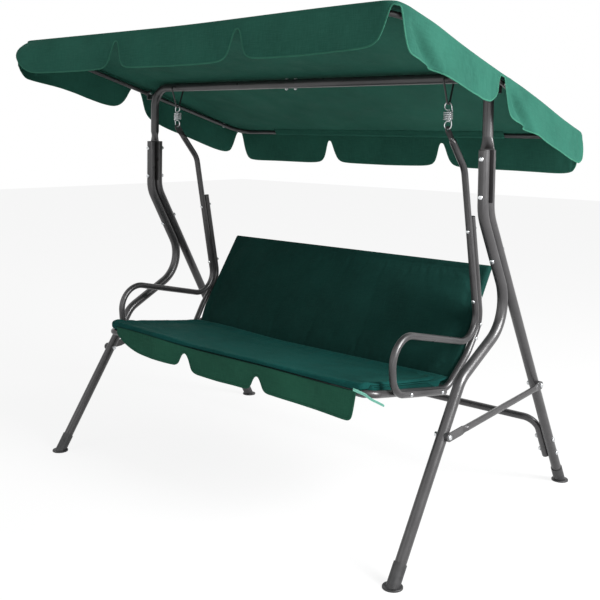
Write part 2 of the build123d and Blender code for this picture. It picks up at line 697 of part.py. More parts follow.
def front_rail_path():
    joint_y = RAIL_JOINT_Y - TOUCH
    points = [(RAIL_X, joint_y, rail_z(joint_y)), (RAIL_X, FRONT_RAIL_Y, rail_z(FRONT_RAIL_Y))]
    return points + [(-x, y, z) for x, y, z in reversed(points)]


def seat_front_rail():
    """Front rail with rounded corners, open at the ends where the side tubes' necks go in."""
    rail = tube(front_rail_path(), [FRONT_RAIL_R, FRONT_RAIL_R], ARM_OD, ARM_WALL)
    rail = drilled(rail, seat_bolt_spots(), M6)
    return rail - Compound([mirrored(hole(spot, M6)) for spot in seat_bolt_spots()])


def seat_cross_rail():
    """Rail under the crease, its ends coped to the side tubes."""
    z = rail_z(CROSS_RAIL_Y)
    rail = tube([(-RAIL_X, CROSS_RAIL_Y, z), (RAIL_X, CROSS_RAIL_Y, z)], None, CROSS_OD, ARM_WALL)
    side = side_tube_solid(ARM_OD + 2 * TOUCH)
    return rail - side - mirrored(side)


def back_frame_path():
    low = at(BACK_X, back_point(BACK_LOW, BACK_PAD / 2))
    high = at(BACK_X, back_point(BACK_HIGH, BACK_PAD / 2))
    return [low, high, (-high[0], high[1], high[2]), (-low[0], low[1], low[2])]


def back_frame():
    frame = tube(back_frame_path(), [BACK_CORNER_R, BACK_CORNER_R], BACK_OD, BACK_WALL)
    frame = drilled(frame, back_bolt_spots(), M6)
    return frame - Compound([mirrored(hole(spot, M6)) for spot in back_bolt_spots()])


def back_frame_caps():
    low = back_frame_path()[0]
    cap = end_cap(low, (0, -BACK_UP[0], -BACK_UP[1]), BACK_OD, BACK_WALL)
    return [cap, mirrored(cap)]


def back_spacers():
    spacers = []
    start_x = BACK_X + BACK_OD / 2 + TOUCH
    for (_, y, z), _, _ in back_bolt_spots():
        spacer = bar_between((start_x, y, z), (start_x + SPACER, y, z), M6[1])
        spacer = drilled(spacer, back_bolt_spots(), M6)
        spacers += [spacer, mirrored(spacer)]
    return spacers


# ---------------------------------------------------------------- padding
def seat_top_z(y):
    """Upper face of the seat padding."""
    return CREASE[1] + SEAT_TOP_FALL * (CREASE[0] - y)


def seat_cushion():
    """Padding between the front rail and the crease, thin over the cross rail."""
    front = FRONT_RAIL_Y + ARM_OD / 2 + SLIP
    rear = CREASE[0] - SLIP
    rail_front = CROSS_RAIL_Y - CROSS_OD / 2 - 2 * SLIP
    profile = Polyline(
        (front, seat_top_z(front)),
        (rear, seat_top_z(rear)),
        (rear, seat_top_z(rear) - SEAT_PAD_THIN + SEAT_PAD_TAPER),
        (rail_front, seat_top_z(rail_front) - SEAT_PAD_THIN - SEAT_PAD_TAPER),
        (rail_front - SEAT_PAD_STEP, seat_top_z(rail_front) - SEAT_PAD),
        (front, seat_top_z(front) - SEAT_PAD),
        close=True,
    )
    slab = extrude(Plane.YZ * make_face(profile), SEAT_HALF_W, both=True)
    z = rail_z(CROSS_RAIL_Y)
    slab -= bar_between((-LEG_X, CROSS_RAIL_Y, z), (LEG_X, CROSS_RAIL_Y, z), CROSS_OD / 2 + SLIP)
    return slab - rod(front_rail_path(), [FRONT_RAIL_R, FRONT_RAIL_R], ARM_OD + 2 * SLIP)


def back_cushion():
    """Padding with a channel round the edge for the back frame."""
    top = BACK_HIGH + BACK_RIM
    profile = [back_point(1, 0), back_point(top, 0), back_point(top, BACK_PAD), back_point(1, BACK_PAD)]
    slab = extrude(Plane.YZ * make_face(Polyline(*profile, close=True)), BACK_HALF_W, both=True)
    path = back_frame_path()
    down = along(path[0][1:], BACK_UP, -BACK_LOW)
    path = [at(path[0][0], down), path[1], path[2], at(path[3][0], down)]
    slab -= rod(path, [BACK_CORNER_R, BACK_CORNER_R], BACK_OD + 2 * SLIP)
    for (_, y, z), _, _ in back_bolt_spots():
        pocket = bar_between((BACK_X - BACK_OD, y, z), (LEG_X, y, z), BOLT_POCKET_R)
        slab = slab - pocket - mirrored(pocket)
    side = side_tube_solid(ARM_OD + 2 * SLIP)
    return slab - side - mirrored(side)


SKIRT_Y = FRONT_RAIL_Y - ARM_OD / 2 - SLIP - CLOTH  # front face of the seat's valance


def seat_valance():
    """Cloth over the front rail that hangs down in three scallops."""
    rail_top = rail_z(FRONT_RAIL_Y) + ARM_OD / 2 + SLIP
    front = FRONT_RAIL_Y + ARM_OD / 2
    sheet = Pos(0, SKIRT_Y, SKIRT_BOTTOM_Z) * Box(
        2 * SKIRT_HALF_W,
        CLOTH,
        rail_top + CLOTH - SKIRT_BOTTOM_Z,
        align=(Align.CENTER, Align.MIN, Align.MIN),
    )
    flap = Pos(0, SKIRT_Y, rail_top) * Box(
        2 * SKIRT_HALF_W, front - SKIRT_Y, CLOTH, align=(Align.CENTER, Align.MIN, Align.MIN)
    )
    for x in (-SKIRT_NOTCH_X, SKIRT_NOTCH_X):
        sheet -= Pos(x, SKIRT_Y, SKIRT_BOTTOM_Z) * Cone(SKIRT_NOTCH_R, 0, SKIRT_NOTCH_H, align=UP)
    return sheet + flap


def seat_ties():
    """Cloth strips at the front corners: the left one is tucked behind the valance, the right one is loose."""
    tie = Box(TIE_LENGTH, CLOTH, TIE_W, align=(Align.MIN, Align.MIN, Align.CENTER))
    tie = Pos(TIE_X, SKIRT_Y + CLOTH + TOUCH, TIE_Z) * tie
    loose = Box(LOOSE_TIE_LENGTH, CLOTH, TIE_W, align=(Align.MIN, Align.MIN, Align.CENTER))
    fall = radians(LOOSE_TIE_FALL)
    start_x = SKIRT_HALF_W + TOUCH + TIE_W / 2 * sin(fall)
    loose = Pos(start_x, SKIRT_Y, LOOSE_TIE_Z) * Rot(0, LOOSE_TIE_FALL, 0) * loose
    return [tie, loose]


# ---------------------------------------------------------------- canopy
LEAN = radians(CANOPY_LEAN)
CANOPY_PLACE = Pos(0, 0, TILT_Z) * Rot(-CANOPY_LEAN, 0, 0)  # from the level canopy to its tilted place


def canopy_yz(y, z):
    """(Y, Z) of a point given in the plane of the canopy frame."""
    return (y * cos(LEAN) + z * sin(LEAN), TILT_Z - y * sin(LEAN) + z * cos(LEAN))


def canopy_screw_spots():
    """Screws through the joints of side bars and end bars, in the plane of the canopy frame."""
    top = CANOPY_OD / 2
    spots = []
    for y in (-FRONT_STUB - STUB_NECK / 2, REAR_STUB + STUB_NECK / 2):
        spots.append(((CANOPY_X, y, -top), (0, 0, 1), CANOPY_OD))
    return spots


def pivot_spots():
    """Pivot bolt through side bar, washer and bracket lug."""
    outside = CANOPY_X + CANOPY_OD / 2
    grip = CANOPY_OD + WASHER_T + 3 * TOUCH + BRACKET_T + TOUCH
    return [((outside, 0, TILT_Z), (-1, 0, 0), grip)]


def canopy_side_bar():
    """Straight bar with a neck at both ends."""
    neck_r = CANOPY_OD / 2 - CANOPY_WALL - TOUCH
    bar = bar_between((CANOPY_X, -FRONT_STUB, 0), (CANOPY_X, REAR_STUB, 0), CANOPY_OD / 2)
    bar += bar_between(
        (CANOPY_X, -FRONT_STUB - STUB_NECK, 0), (CANOPY_X, REAR_STUB + STUB_NECK, 0), neck_r
    )
    bar -= bar_between(
        (CANOPY_X, -FRONT_STUB - STUB_NECK, 0),
        (CANOPY_X, REAR_STUB + STUB_NECK, 0),
        neck_r - CANOPY_WALL,
    )
    bar = drilled(bar, canopy_screw_spots(), M5)
    return drilled(CANOPY_PLACE * bar, pivot_spots(), M8)


def end_bar(stub_y, bar_y):
    """Front or rear bar with rounded corners, open at the ends where the side bars' necks go in."""
    points = [(CANOPY_X, stub_y, 0), (CANOPY_X, bar_y, 0)]
    points += [(-x, y, z) for x, y, z in reversed(points)]
    bar = tube(points, [CANOPY_CORNER_R, CANOPY_CORNER_R], CANOPY_OD, CANOPY_WALL)
    bar = drilled(bar, canopy_screw_spots(), M5)
    bar -= Compound([mirrored(hole(spot, M5)) for spot in canopy_screw_spots()])
    return CANOPY_PLACE * bar


def canopy_washers():
    start = CANOPY_X - CANOPY_OD / 2 - TOUCH - WASHER_T
    washer = bar_between((start, 0, TILT_Z), (start + WASHER_T, 0, TILT_Z), WASHER_R)
    washer = drilled(washer, pivot_spots(), M8)
    return [washer, mirrored(washer)]


def cover_path():
    """Underside of the cover in the (Y, Z) plane: front edge, ridge over the bar, rear edge."""
    front = canopy_yz(-CANOPY_FRONT, CANOPY_OD / 2 + SLIP)
    rear = canopy_yz(CANOPY_REAR, CANOPY_OD / 2 + SLIP)
    ridge = canopy_yz(0, RIDGE_R)
    front_y = canopy_yz(-CANOPY_FRONT, 0)[0] - CANOPY_OD / 2 - OVERHANG
    rear_y = canopy_yz(CANOPY_REAR, 0)[0] + CANOPY_OD / 2 + OVERHANG
    front_top = crossing(ridge, unit(ridge, front), (front_y, 0), (0, 1))
    rear_top = crossing(ridge, unit(ridge, rear), (rear_y, 0), (0, 1))
    front_low = (front_y, front_top[1] - VALANCE)
    rear_low = (rear_y, rear_top[1] - VALANCE)
    return [front_low, front_top, ridge, rear_top, rear_low]


def canopy_cover():
    """The cover as one thin shell: top with its ridge, and hanging edges with notches."""
    points = cover_path()
    radii = [COVER_CORNER_R, RIDGE_R, COVER_CORNER_R]
    inner_points = list(points)
    inner_points[0] = along(points[0], (0, -1), OVERHANG)
    inner_points[4] = along(points[4], (0, -1), OVERHANG)
    inner = FilletPolyline(*inner_points, radius=radii)
    under = make_face(Wire([*inner.edges(), Line(inner @ 1, inner @ 0)]))
    half = CANOPY_X + CANOPY_OD / 2 + OVERHANG
    outer_points = [(points[0][0] - CLOTH, points[0][1])]
    outer_points += [
        (points[1][0] - CLOTH, points[1][1] + CLOTH),
        (points[2][0], points[2][1] + CLOTH),
        (points[3][0] + CLOTH, points[3][1] + CLOTH),
        (points[4][0] + CLOTH, points[4][1]),
    ]
    grown = [r + CLOTH for r in radii]
    outer = FilletPolyline(*outer_points, radius=grown)
    over = make_face(Wire([*outer.edges(), Line(outer @ 1, outer @ 0)]))
    shell = extrude(Plane.YZ * over, half + CLOTH, both=True)
    shell -= extrude(Plane.YZ * under, half, both=True)
    front, rear = points[0], points[4]
    notch_h = VALANCE - NOTCH_TOP
    notch = Cone(NOTCH_R, 0, notch_h, align=UP)
    side_x = half + CLOTH / 2
    for x in (-side_x, -NOTCH_X, NOTCH_X, side_x):
        shell -= Pos(x, front[0] - CLOTH / 2, front[1]) * notch
        shell -= Pos(x, rear[0] + CLOTH / 2, rear[1]) * notch
    middle_z = crossing(front, unit(front, rear), (SIDE_NOTCH_Y, 0), (0, 1))[1]
    for x in (-side_x, side_x):
        shell -= Pos(x, SIDE_NOTCH_Y, middle_z - SIDE_NOTCH_DROP) * notch
    return shell


# ---------------------------------------------------------------- every node
def both_sides(spots, size):
    """Bolts of one side and their mirror images."""
    right = [piece for spot in spots for piece in bolt(spot, size)]
    return right + [mirrored(piece) for piece in right]


def build():
    """Every node by its name."""
    front_up = (-KNEE_TO_FOOT[0], -KNEE_TO_FOOT[1])
    rear_up = (-sin(LEG_LEAN), cos(LEG_LEAN))
    pairs = {
        "front_leg": front_leg(),
        "rear_leg": rear_leg(),
        "foot_front": foot(FRONT_FOOT_Y, front_up),
        "foot_rear": foot(REAR_FOOT_Y, rear_up),
        "hanger_vee": hanger_vee(),
        "side_brace": side_brace(),
        "canopy_bracket": canopy_bracket(),
        "spring": spring(),
        "hanger_arm": hanger_arm(),
        "side_tube": side_tube(),
        "canopy_side_bar": canopy_side_bar(),
        "leg_bolts": [piece for spot in leg_bolt_spots() for piece in bolt(spot, M8)],
    }
    nodes = {}
    for name, shape in pairs.items():
        nodes[name + "_right"] = shape
        both = isinstance(shape, list)
        nodes[name + "_left"] = [mirrored(s) for s in shape] if both else mirrored(shape)
    screws = [CANOPY_PLACE * piece for piece in both_sides(canopy_screw_spots(), M5)]
    nodes.update(
        {
            "leg_top_caps": leg_top_caps(),
            "top_bar_left": top_bar_left(),
            "top_bar_right": top_bar_right(),
            "top_bar_bolts": [piece for spot in joint_bolt_spots() for piece in bolt(spot, M6)],
            "brace_saddles": brace_saddles(),
            "brace_bolts": both_sides(brace_bolt_spots(), M8),
            "rear_stretcher": rear_stretcher(),
            "stretcher_bolts": both_sides(stretcher_bolt_spots(), M8),
            "arm_end_caps": arm_end_caps(),
            "side_tube_caps": side_tube_caps(),
            "arm_bolts": both_sides(arm_bolt_spots(), M6),
            "seat_bolts": both_sides(seat_bolt_spots(), M6),
            "seat_front_rail": seat_front_rail(),
            "seat_cross_rail": seat_cross_rail(),
            "back_frame": back_frame(),
            "back_frame_caps": back_frame_caps(),
            "back_spacers": back_spacers(),
            "back_bolts": both_sides(back_bolt_spots(), M6),
            "seat_cushion": seat_cushion(),
            "back_cushion": back_cushion(),
            "seat_valance": seat_valance(),
            "seat_ties": seat_ties(),
            "canopy_front_bar": end_bar(-FRONT_STUB - TOUCH, -CANOPY_FRONT),
            "canopy_rear_bar": end_bar(REAR_STUB + TOUCH, CANOPY_REAR),
            "canopy_pivot_bolts": both_sides(pivot_spots(), M8),
            "canopy_washers": canopy_washers(),
            "canopy_screws": screws,
            "canopy_cover": canopy_cover(),
        }
    )
    return nodes


def main():
    os.makedirs("parts", exist_ok=True)
    nodes = build()
    front_y = cover_path()[0][0] - CLOTH
    rear_y = REAR_FOOT_Y + FOOT_R
    to_origin = Pos(0, -(front_y + rear_y) / 2, 0)
    for name, shape in nodes.items():
        solids = []
        for piece in shape if isinstance(shape, list) else [shape]:
            solids += (to_origin * piece).solids()
        whole = solids[0] if len(solids) == 1 else Compound(solids)
        export_step(whole, f"parts/{name}.step")
    print("bar plane Y", round(-(front_y + rear_y) / 2, 3), "eye Z", round(EYE_Z, 3))


main()
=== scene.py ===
import json
import math

import bpy
import numpy as np
from mathutils import Matrix, Vector, noise


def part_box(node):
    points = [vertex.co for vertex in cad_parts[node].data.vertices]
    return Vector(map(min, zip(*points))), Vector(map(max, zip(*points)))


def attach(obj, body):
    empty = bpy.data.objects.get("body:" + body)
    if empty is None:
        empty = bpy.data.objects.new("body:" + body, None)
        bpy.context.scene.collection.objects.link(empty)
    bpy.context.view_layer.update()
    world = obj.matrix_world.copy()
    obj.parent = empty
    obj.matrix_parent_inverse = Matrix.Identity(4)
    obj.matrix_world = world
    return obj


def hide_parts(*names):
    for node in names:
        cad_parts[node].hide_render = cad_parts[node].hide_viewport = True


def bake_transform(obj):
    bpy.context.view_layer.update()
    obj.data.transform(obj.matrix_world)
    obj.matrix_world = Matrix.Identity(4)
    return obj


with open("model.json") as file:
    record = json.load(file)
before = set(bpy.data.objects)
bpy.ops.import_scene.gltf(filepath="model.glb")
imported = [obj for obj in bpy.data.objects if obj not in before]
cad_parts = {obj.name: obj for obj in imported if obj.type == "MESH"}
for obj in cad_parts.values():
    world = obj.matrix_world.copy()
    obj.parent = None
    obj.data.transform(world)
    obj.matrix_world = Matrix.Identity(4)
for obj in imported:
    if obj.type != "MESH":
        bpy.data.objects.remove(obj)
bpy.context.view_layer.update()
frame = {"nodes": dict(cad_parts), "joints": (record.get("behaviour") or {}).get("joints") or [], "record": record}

JOINTS = {joint["name"]: joint for joint in frame["joints"]}
TAU = 2 * math.pi
MM = 1000  # millimetres in a metre: the canopy is written in metres, springs and seat in millimetres
BAR_Y = -0.01337  # metres: the upright plane of the top bar, which the millimetres are measured from


# ---------------------------------------------------------------- helpers
def smooth(low, high, x):
    """0 below low, 1 above high, and a soft step between."""
    t = np.clip((np.asarray(x, float) - low) / (high - low), 0, 1)
    return t * t * (3 - 2 * t)


def waves(points, scale, seed, depth=1):
    """Seeded smooth noise, about -1 to 1, at each point."""
    shift = Vector((seed * 17.3, seed * 5.1, seed * 9.7))
    out = np.empty(len(points))
    for i, p in enumerate(points):
        out[i] = noise.fractal(Vector(p) * scale + shift, 1.0, 2.0, depth)
    return out


def make(name, verts, faces, cloth=None):
    """A smooth mesh object. cloth gives the weave each point's place in the flat cloth, in metres."""
    mesh = bpy.data.meshes.new(name)
    mesh.from_pydata([tuple(v) for v in verts], [], [tuple(f) for f in faces])
    mesh.update()
    mesh.polygons.foreach_set("use_smooth", [True] * len(mesh.polygons))
    if cloth is not None:
        attribute = mesh.attributes.new("cloth", "FLOAT_VECTOR", "POINT")
        attribute.data.foreach_set("vector", np.asarray(cloth, np.float32).ravel())
    obj = bpy.data.objects.new(name, mesh)
    bpy.context.scene.collection.objects.link(obj)
    return obj


def points_of(obj):
    co = np.empty(len(obj.data.vertices) * 3)
    obj.data.vertices.foreach_get("co", co)
    return co.reshape(-1, 3)


def set_points(obj, co):
    obj.data.vertices.foreach_set("co", np.asarray(co, np.float32).ravel())
    obj.data.update()


def apply_all(obj):
    """Turns the object with its modifiers into a plain mesh."""
    graph = bpy.context.evaluated_depsgraph_get()
    mesh = bpy.data.meshes.new_from_object(obj.evaluated_get(graph))
    mesh.name = obj.name
    obj.modifiers.clear()
    obj.data = mesh


def thicken(obj, thickness, offset=0.0):
    solid = obj.modifiers.new("thickness", "SOLIDIFY")
    solid.thickness = thickness
    solid.offset = offset


def at(x, y, z):
    """Metres in the model's frame of a point in millimetres about the plane of the top bar."""
    return (x / MM, y / MM + BAR_Y, z / MM)


def smooth_curve(points, count):
    """Points evenly along a soft curve through the given ones."""
    p = np.asarray(points, float)
    p = np.concatenate([[2 * p[0] - p[1]], p, [2 * p[-1] - p[-2]]])
    out = []
    for a, b, c, d in zip(p[:-3], p[1:-2], p[2:-1], p[3:]):
        for t in np.linspace(0, 1, 24, endpoint=False):
            square = (2 * a - 5 * b + 4 * c - d) * t**2
            cube = (3 * b - a - 3 * c + d) * t**3
            out.append(0.5 * (2 * b + (c - a) * t + square + cube))
    out = np.array(out + [p[-2]])
    run = np.concatenate([[0], np.cumsum(np.linalg.norm(np.diff(out, axis=0), axis=1))])
    even = np.linspace(0, run[-1], count)
    return np.stack([np.interp(even, run, out[:, k]) for k in range(out.shape[1])], -1)


BAR_WEAVE = 0.002  # metres of flat cloth from each point of a bar to the next


def swept(name, path, radius, sides, flat=1.0):
    """A round or flattened bar along the path, its section carried along without twist."""
    path = np.asarray(path, float)
    tangent = np.gradient(path, axis=0)
    tangent /= np.linalg.norm(tangent, axis=1)[:, None]
    side = np.cross(tangent[0], (0.0, 0.0, 1.0))
    if np.linalg.norm(side) < 0.1:
        side = np.cross(tangent[0], (0.0, 1.0, 0.0))
    verts, cloth = [], []
    radii = np.broadcast_to(radius, len(path))
    for i, p in enumerate(path):
        side = side - tangent[i] * side.dot(tangent[i])
        side /= np.linalg.norm(side)
        other = np.cross(tangent[i], side)
        for k in range(sides):
            a = TAU * k / sides
            verts.append(p + radii[i] * (side * math.cos(a) * flat + other * math.sin(a)))
            cloth.append((i * BAR_WEAVE, k * BAR_WEAVE, 0))
    faces = loop_faces(len(path), sides, True)
    last = (len(path) - 1) * sides
    faces.append(tuple(reversed(range(sides))))
    faces.append(tuple(range(last, last + sides)))
    return make(name, verts, faces, cloth)


def loop_faces(rings, ring_length, closed_ring, closed_path=False):
    """Quads between rings of points that follow each other."""
    faces = []
    for r in range(rings if closed_path else rings - 1):
        for i in range(ring_length if closed_ring else ring_length - 1):
            j = (i + 1) % ring_length
            s = (r + 1) % rings
            here, there = r * ring_length, s * ring_length
            faces.append((here + i, here + j, there + j, there + i))
    return faces


# ---------------------------------------------------------------- materials
def linear(red, green, blue):
    """Linear colour of an 8-bit sRGB one."""
    out = []
    for c in (red, green, blue):
        c /= 255
        out.append(c / 12.92 if c <= 0.04045 else ((c + 0.055) / 1.055) ** 2.4)
    return (*out, 1.0)


class Nodes:
    """Short calls to build a material's node tree."""

    def __init__(self, name):
        self.material = bpy.data.materials.new(name)
        self.material.use_nodes = True
        self.tree = self.material.node_tree
        self.tree.nodes.clear()
        self.shader = self.add("ShaderNodeBsdfPrincipled")
        output = self.add("ShaderNodeOutputMaterial")
        self.link(self.shader.outputs[0], output.inputs[0])

    def add(self, kind, **settings):
        node = self.tree.nodes.new(kind)
        for key, value in settings.items():
            setattr(node, key, value)
        return node

    def link(self, a, b):
        self.tree.links.new(a, b)

    def value(self, socket, value):
        """Sets a socket from a number, a colour or another socket."""
        if isinstance(value, bpy.types.NodeSocket):
            self.link(value, socket)
        else:
            socket.default_value = value

    def math(self, operation, a, b=0.0):
        node = self.add("ShaderNodeMath", operation=operation)
        self.value(node.inputs[0], a)
        self.value(node.inputs[1], b)
        return node.outputs[0]

    def place(self):
        return self.add("ShaderNodeTexCoord").outputs["Object"]

    def noise(self, vector, scale, detail=2.0, rough=0.5):
        node = self.add("ShaderNodeTexNoise")
        self.link(vector, node.inputs["Vector"])
        node.inputs["Scale"].default_value = scale
        node.inputs["Detail"].default_value = detail
        node.inputs["Roughness"].default_value = rough
        return node.outputs["Fac"]

    def ramp(self, factor, low, high, a=0.0, b=1.0):
        """Maps low..high of the factor to a..b."""
        node = self.add("ShaderNodeMapRange")
        self.link(factor, node.inputs[0])
        for i, v in enumerate((low, high, a, b)):
            node.inputs[i + 1].default_value = v
        return node.outputs[0]

    def mix(self, factor, a, b):
        node = self.add("ShaderNodeMix", data_type="RGBA")
        self.value(node.inputs[0], factor)
        self.value(node.inputs[6], a)
        self.value(node.inputs[7], b)
        return node.outputs[2]

    def bump(self, height, strength, distance):
        node = self.add("ShaderNodeBump")
        node.inputs["Strength"].default_value = strength
        node.inputs["Distance"].default_value = distance
        self.link(height, node.inputs["Height"])
        self.link(node.outputs[0], self.shader.inputs["Normal"])

    def set(self, **values):
        """Sets the shader's inputs, named with _ for a space."""
        for key, value in values.items():
            self.value(self.shader.inputs[key.replace("_", " ")], value)


PATCHY = (0.3, 0.7)  # the range of a noise that makes soft patches
THREAD = 0.0011  # metres from thread to thread


def painted(name, colour, light, dark, rough):
    """Powder coat: a fine orange peel, soft patches, pale specks and a few scuffs."""
    n = Nodes(name)
    place = n.place()
    cloud = n.ramp(n.noise(place, 9.0, 4.0), *PATCHY)
    base = n.mix(cloud, linear(*dark), linear(*colour))
    speck = n.ramp(n.noise(place, 900.0, 1.0), 0.62, 0.75, 0.0, 0.35)
    base = n.mix(speck, base, linear(*light))
    scuff = n.ramp(n.noise(place, 38.0, 6.0, 0.7), 0.66, 0.72, 0.0, 0.35)
    base = n.mix(scuff, base, linear(*light))
    dull = n.ramp(n.noise(place, 30.0, 3.0), *PATCHY, rough - 0.06, rough + 0.08)
    n.set(Base_Color=base, Metallic=0.25, Roughness=dull, Coat_Weight=0.25, Coat_Roughness=0.28)
    coarse_peel = n.math("MULTIPLY", n.noise(place, 160.0, 2.0), 0.8)
    peel = n.math("ADD", n.noise(place, 700.0, 2.0), coarse_peel)
    n.bump(peel, strength=0.35, distance=0.00025)
    return n.material


def zinc(name):
    """Zinc plated steel with dull spots and a very fine grain."""
    n = Nodes(name)
    place = n.place()
    cloud = n.ramp(n.noise(place, 120.0, 4.0), 0.35, 0.65)
    base = n.mix(cloud, linear(176, 178, 181), linear(224, 226, 227))
    dull = n.ramp(n.noise(place, 260.0, 3.0), *PATCHY, 0.2, 0.42)
    n.set(Base_Color=base, Metallic=1.0, Roughness=dull)
    n.bump(n.noise(place, 1500.0, 2.0), strength=0.2, distance=0.0001)
    return n.material


def plastic(name):
    """Black moulded plastic with a fine spark-eroded grain."""
    n = Nodes(name)
    place = n.place()
    cloud = n.ramp(n.noise(place, 40.0, 3.0), *PATCHY)
    base = n.mix(cloud, linear(26, 26, 27), linear(44, 44, 45))
    dull = n.ramp(n.noise(place, 90.0, 2.0), *PATCHY, 0.42, 0.6)
    n.set(Base_Color=base, Roughness=dull)
    n.bump(n.noise(place, 1800.0, 2.0), strength=0.5, distance=0.00015)
    return n.material


def fabric(name, colour, shade, light, weave=0.5):
    """Woven polyester: warp and weft threads, slubs, soft patches of wear and a little sheen."""
    n = Nodes(name)
    flat = n.add("ShaderNodeAttribute", attribute_name="cloth").outputs["Vector"]
    split = n.add("ShaderNodeSeparateXYZ")
    n.link(flat, split.inputs[0])
    place = n.place()

    def threads_along(axis):
        turns = n.math("MULTIPLY", split.outputs[axis], math.pi / THREAD)
        return n.math("ABSOLUTE", n.math("SINE", turns))

    def slubs_along(scale):
        """Thick and thin threads: noise drawn out along one direction."""
        stretch = n.add("ShaderNodeMapping")
        n.link(flat, stretch.inputs["Vector"])
        stretch.inputs["Scale"].default_value = scale
        return n.noise(stretch.outputs[0], 26.0, 3.0)

    threads = n.math("MULTIPLY", n.math("ADD", threads_along(0), threads_along(1)), 0.5)
    both_slubs = n.math("ADD", slubs_along((1.0, 14.0, 1.0)), slubs_along((14.0, 1.0, 1.0)))
    slubs = n.math("MULTIPLY", both_slubs, 0.5)
    base = n.mix(n.ramp(n.noise(place, 5.0, 4.0), *PATCHY), linear(*shade), linear(*colour))
    base = n.mix(n.ramp(slubs, 0.42, 0.62, 0.0, 0.3), base, linear(*light))
    base = n.mix(n.ramp(threads, 0.0, 0.5, 0.35, 0.0), base, linear(*shade))
    worn = n.ramp(n.noise(place, 14.0, 3.0), *PATCHY, 0.74, 0.9)
    n.set(Base_Color=base, Roughness=worn, Specular_IOR_Level=0.04)
    n.set(Sheen_Weight=0.035, Sheen_Roughness=0.45, Sheen_Tint=linear(120, 190, 165))
    crease = n.math("MULTIPLY", n.noise(place, 55.0, 3.0), 1.4)
    height = n.math("ADD", threads, n.math("ADD", slubs, crease))
    n.bump(height, strength=weave, distance=0.00045)
    return n.material


# colours as 8-bit sRGB: main, pale and dark for paint, and main, dark and pale for cloth
MATERIALS = {
    "paint": painted("powder coat", (57, 56, 57), (98, 98, 98), (44, 43, 44), 0.33),
    "rod": painted("black rod", (34, 33, 34), (70, 70, 70), (24, 24, 24), 0.38),
    "zinc": zinc("zinc plate"),
    "plastic": plastic("black plastic"),
}
CLOTH = fabric("green polyester", (35, 80, 68), (28, 67, 57), (48, 97, 83))
PAD_CLOTH = fabric("green padding cloth", (12, 60, 57), (9, 50, 47), (23, 74, 70))
BINDING = fabric("green binding", (46, 96, 79), (38, 82, 68), (64, 116, 98), 0.7)
# dark welt colour: painted shadow of the groove between the seat's roll and the skirt
SEAM_SHADOW = fabric("painted seam shadow", (12, 34, 30), (9, 27, 24), (20, 46, 40), 0.7)
# the back's cloth is the green cloth darkened: painted shade of the canopy over the back
BACK_CLOTH_PAINTED_SHADE = fabric("green back cloth, painted shade", (17, 50, 45), (14, 41, 37), (28, 64, 58))
SKIRT_CLOTH = fabric("green skirt cloth", (31, 74, 58), (26, 62, 49), (44, 90, 72))
# the straps' pale colour is the green cloth as lit by sun: painted light
TIE_CLOTH_PAINTED_SUNLIGHT = fabric("green strap, painted sunlight", (128, 192, 174), (106, 170, 152), (150, 210, 194))

SLOT_OF = {part["node"]: part["material_slot"] for part in frame["record"]["subparts"]}
for name, obj in frame["nodes"].items():
    material = MATERIALS.get(SLOT_OF[name], CLOTH)
    if not obj.material_slots:
        obj.data.materials.append(material)
    for place in obj.material_slots:
        place.material = material


# ---------------------------------------------------------------- camera and light
def camera():
    """At the photograph's viewing place: a nearly level view with the frame shifted down."""
    data = bpy.data.cameras.new("camera")
    data.sensor_width = 36.0
    data.lens = 54.2315
    data.shift_y = -0.2
    data.clip_start = 0.05
    obj = bpy.data.objects.new("camera", data)
    place = (2.0989, -2.4149, 1.2102)
    azimuth, pitch, roll = math.radians(40.8209), math.radians(3.037), math.radians(0.7934)
    forward = Vector(
        (-math.sin(azimuth) * math.cos(pitch), math.cos(azimuth) * math.cos(pitch), -math.sin(pitch))
    )
    right = Vector((math.cos(azimuth), math.sin(azimuth), 0))
    up = right.cross(forward)
    level = right * math.cos(roll) + up * math.sin(roll)
    upright = up * math.cos(roll) - right * math.sin(roll)
    rotation = Matrix((level, upright, -forward)).transposed()
    obj.matrix_world = Matrix.Translation(place) @ rotation.to_4x4()
    bpy.context.scene.collection.objects.link(obj)
    bpy.context.scene.camera = obj


def lamp(name, place, target, size, power):
    data = bpy.data.lights.new(name, "AREA")
    data.shape = "RECTANGLE"
    data.size, data.size_y = size
    data.energy = power
    obj = bpy.data.objects.new(name, data)
    obj.location = place
    obj.rotation_mode = "QUATERNION"
    obj.rotation_quaternion = (Vector(target) - Vector(place)).to_track_quat("-Z", "Y")
    bpy.context.scene.collection.objects.link(obj)


def white_for_camera(tree, plain, white, share):
    """Mixes a share of white into a plain shader for camera, mirror and see-through rays."""
    rays = tree.nodes.new("ShaderNodeLightPath")
    either = rays.outputs["Is Camera Ray"]
    for other in ("Is Glossy Ray", "Is Transmission Ray"):
        node = tree.nodes.new("ShaderNodeMath")
        node.operation = "MAXIMUM"
        tree.links.new(either, node.inputs[0])
        tree.links.new(rays.outputs[other], node.inputs[1])
        either = node.outputs[0]
    amount = tree.nodes.new("ShaderNodeMath")
    amount.operation = "MULTIPLY"
    tree.links.new(either, amount.inputs[0])
    amount.inputs[1].default_value = share
    mix = tree.nodes.new("ShaderNodeMixShader")
    for source, socket in zip((amount.outputs[0], plain, white), mix.inputs):
        tree.links.new(source, socket)
    return mix.outputs[0]


SKY_LIGHT = 0.5
FLOOR_HALF = 14
FLOOR_GREY = 0.86
FLOOR_WHITE = 0.86  # share of plain white that the camera sees in the floor. The rest keeps the shadow


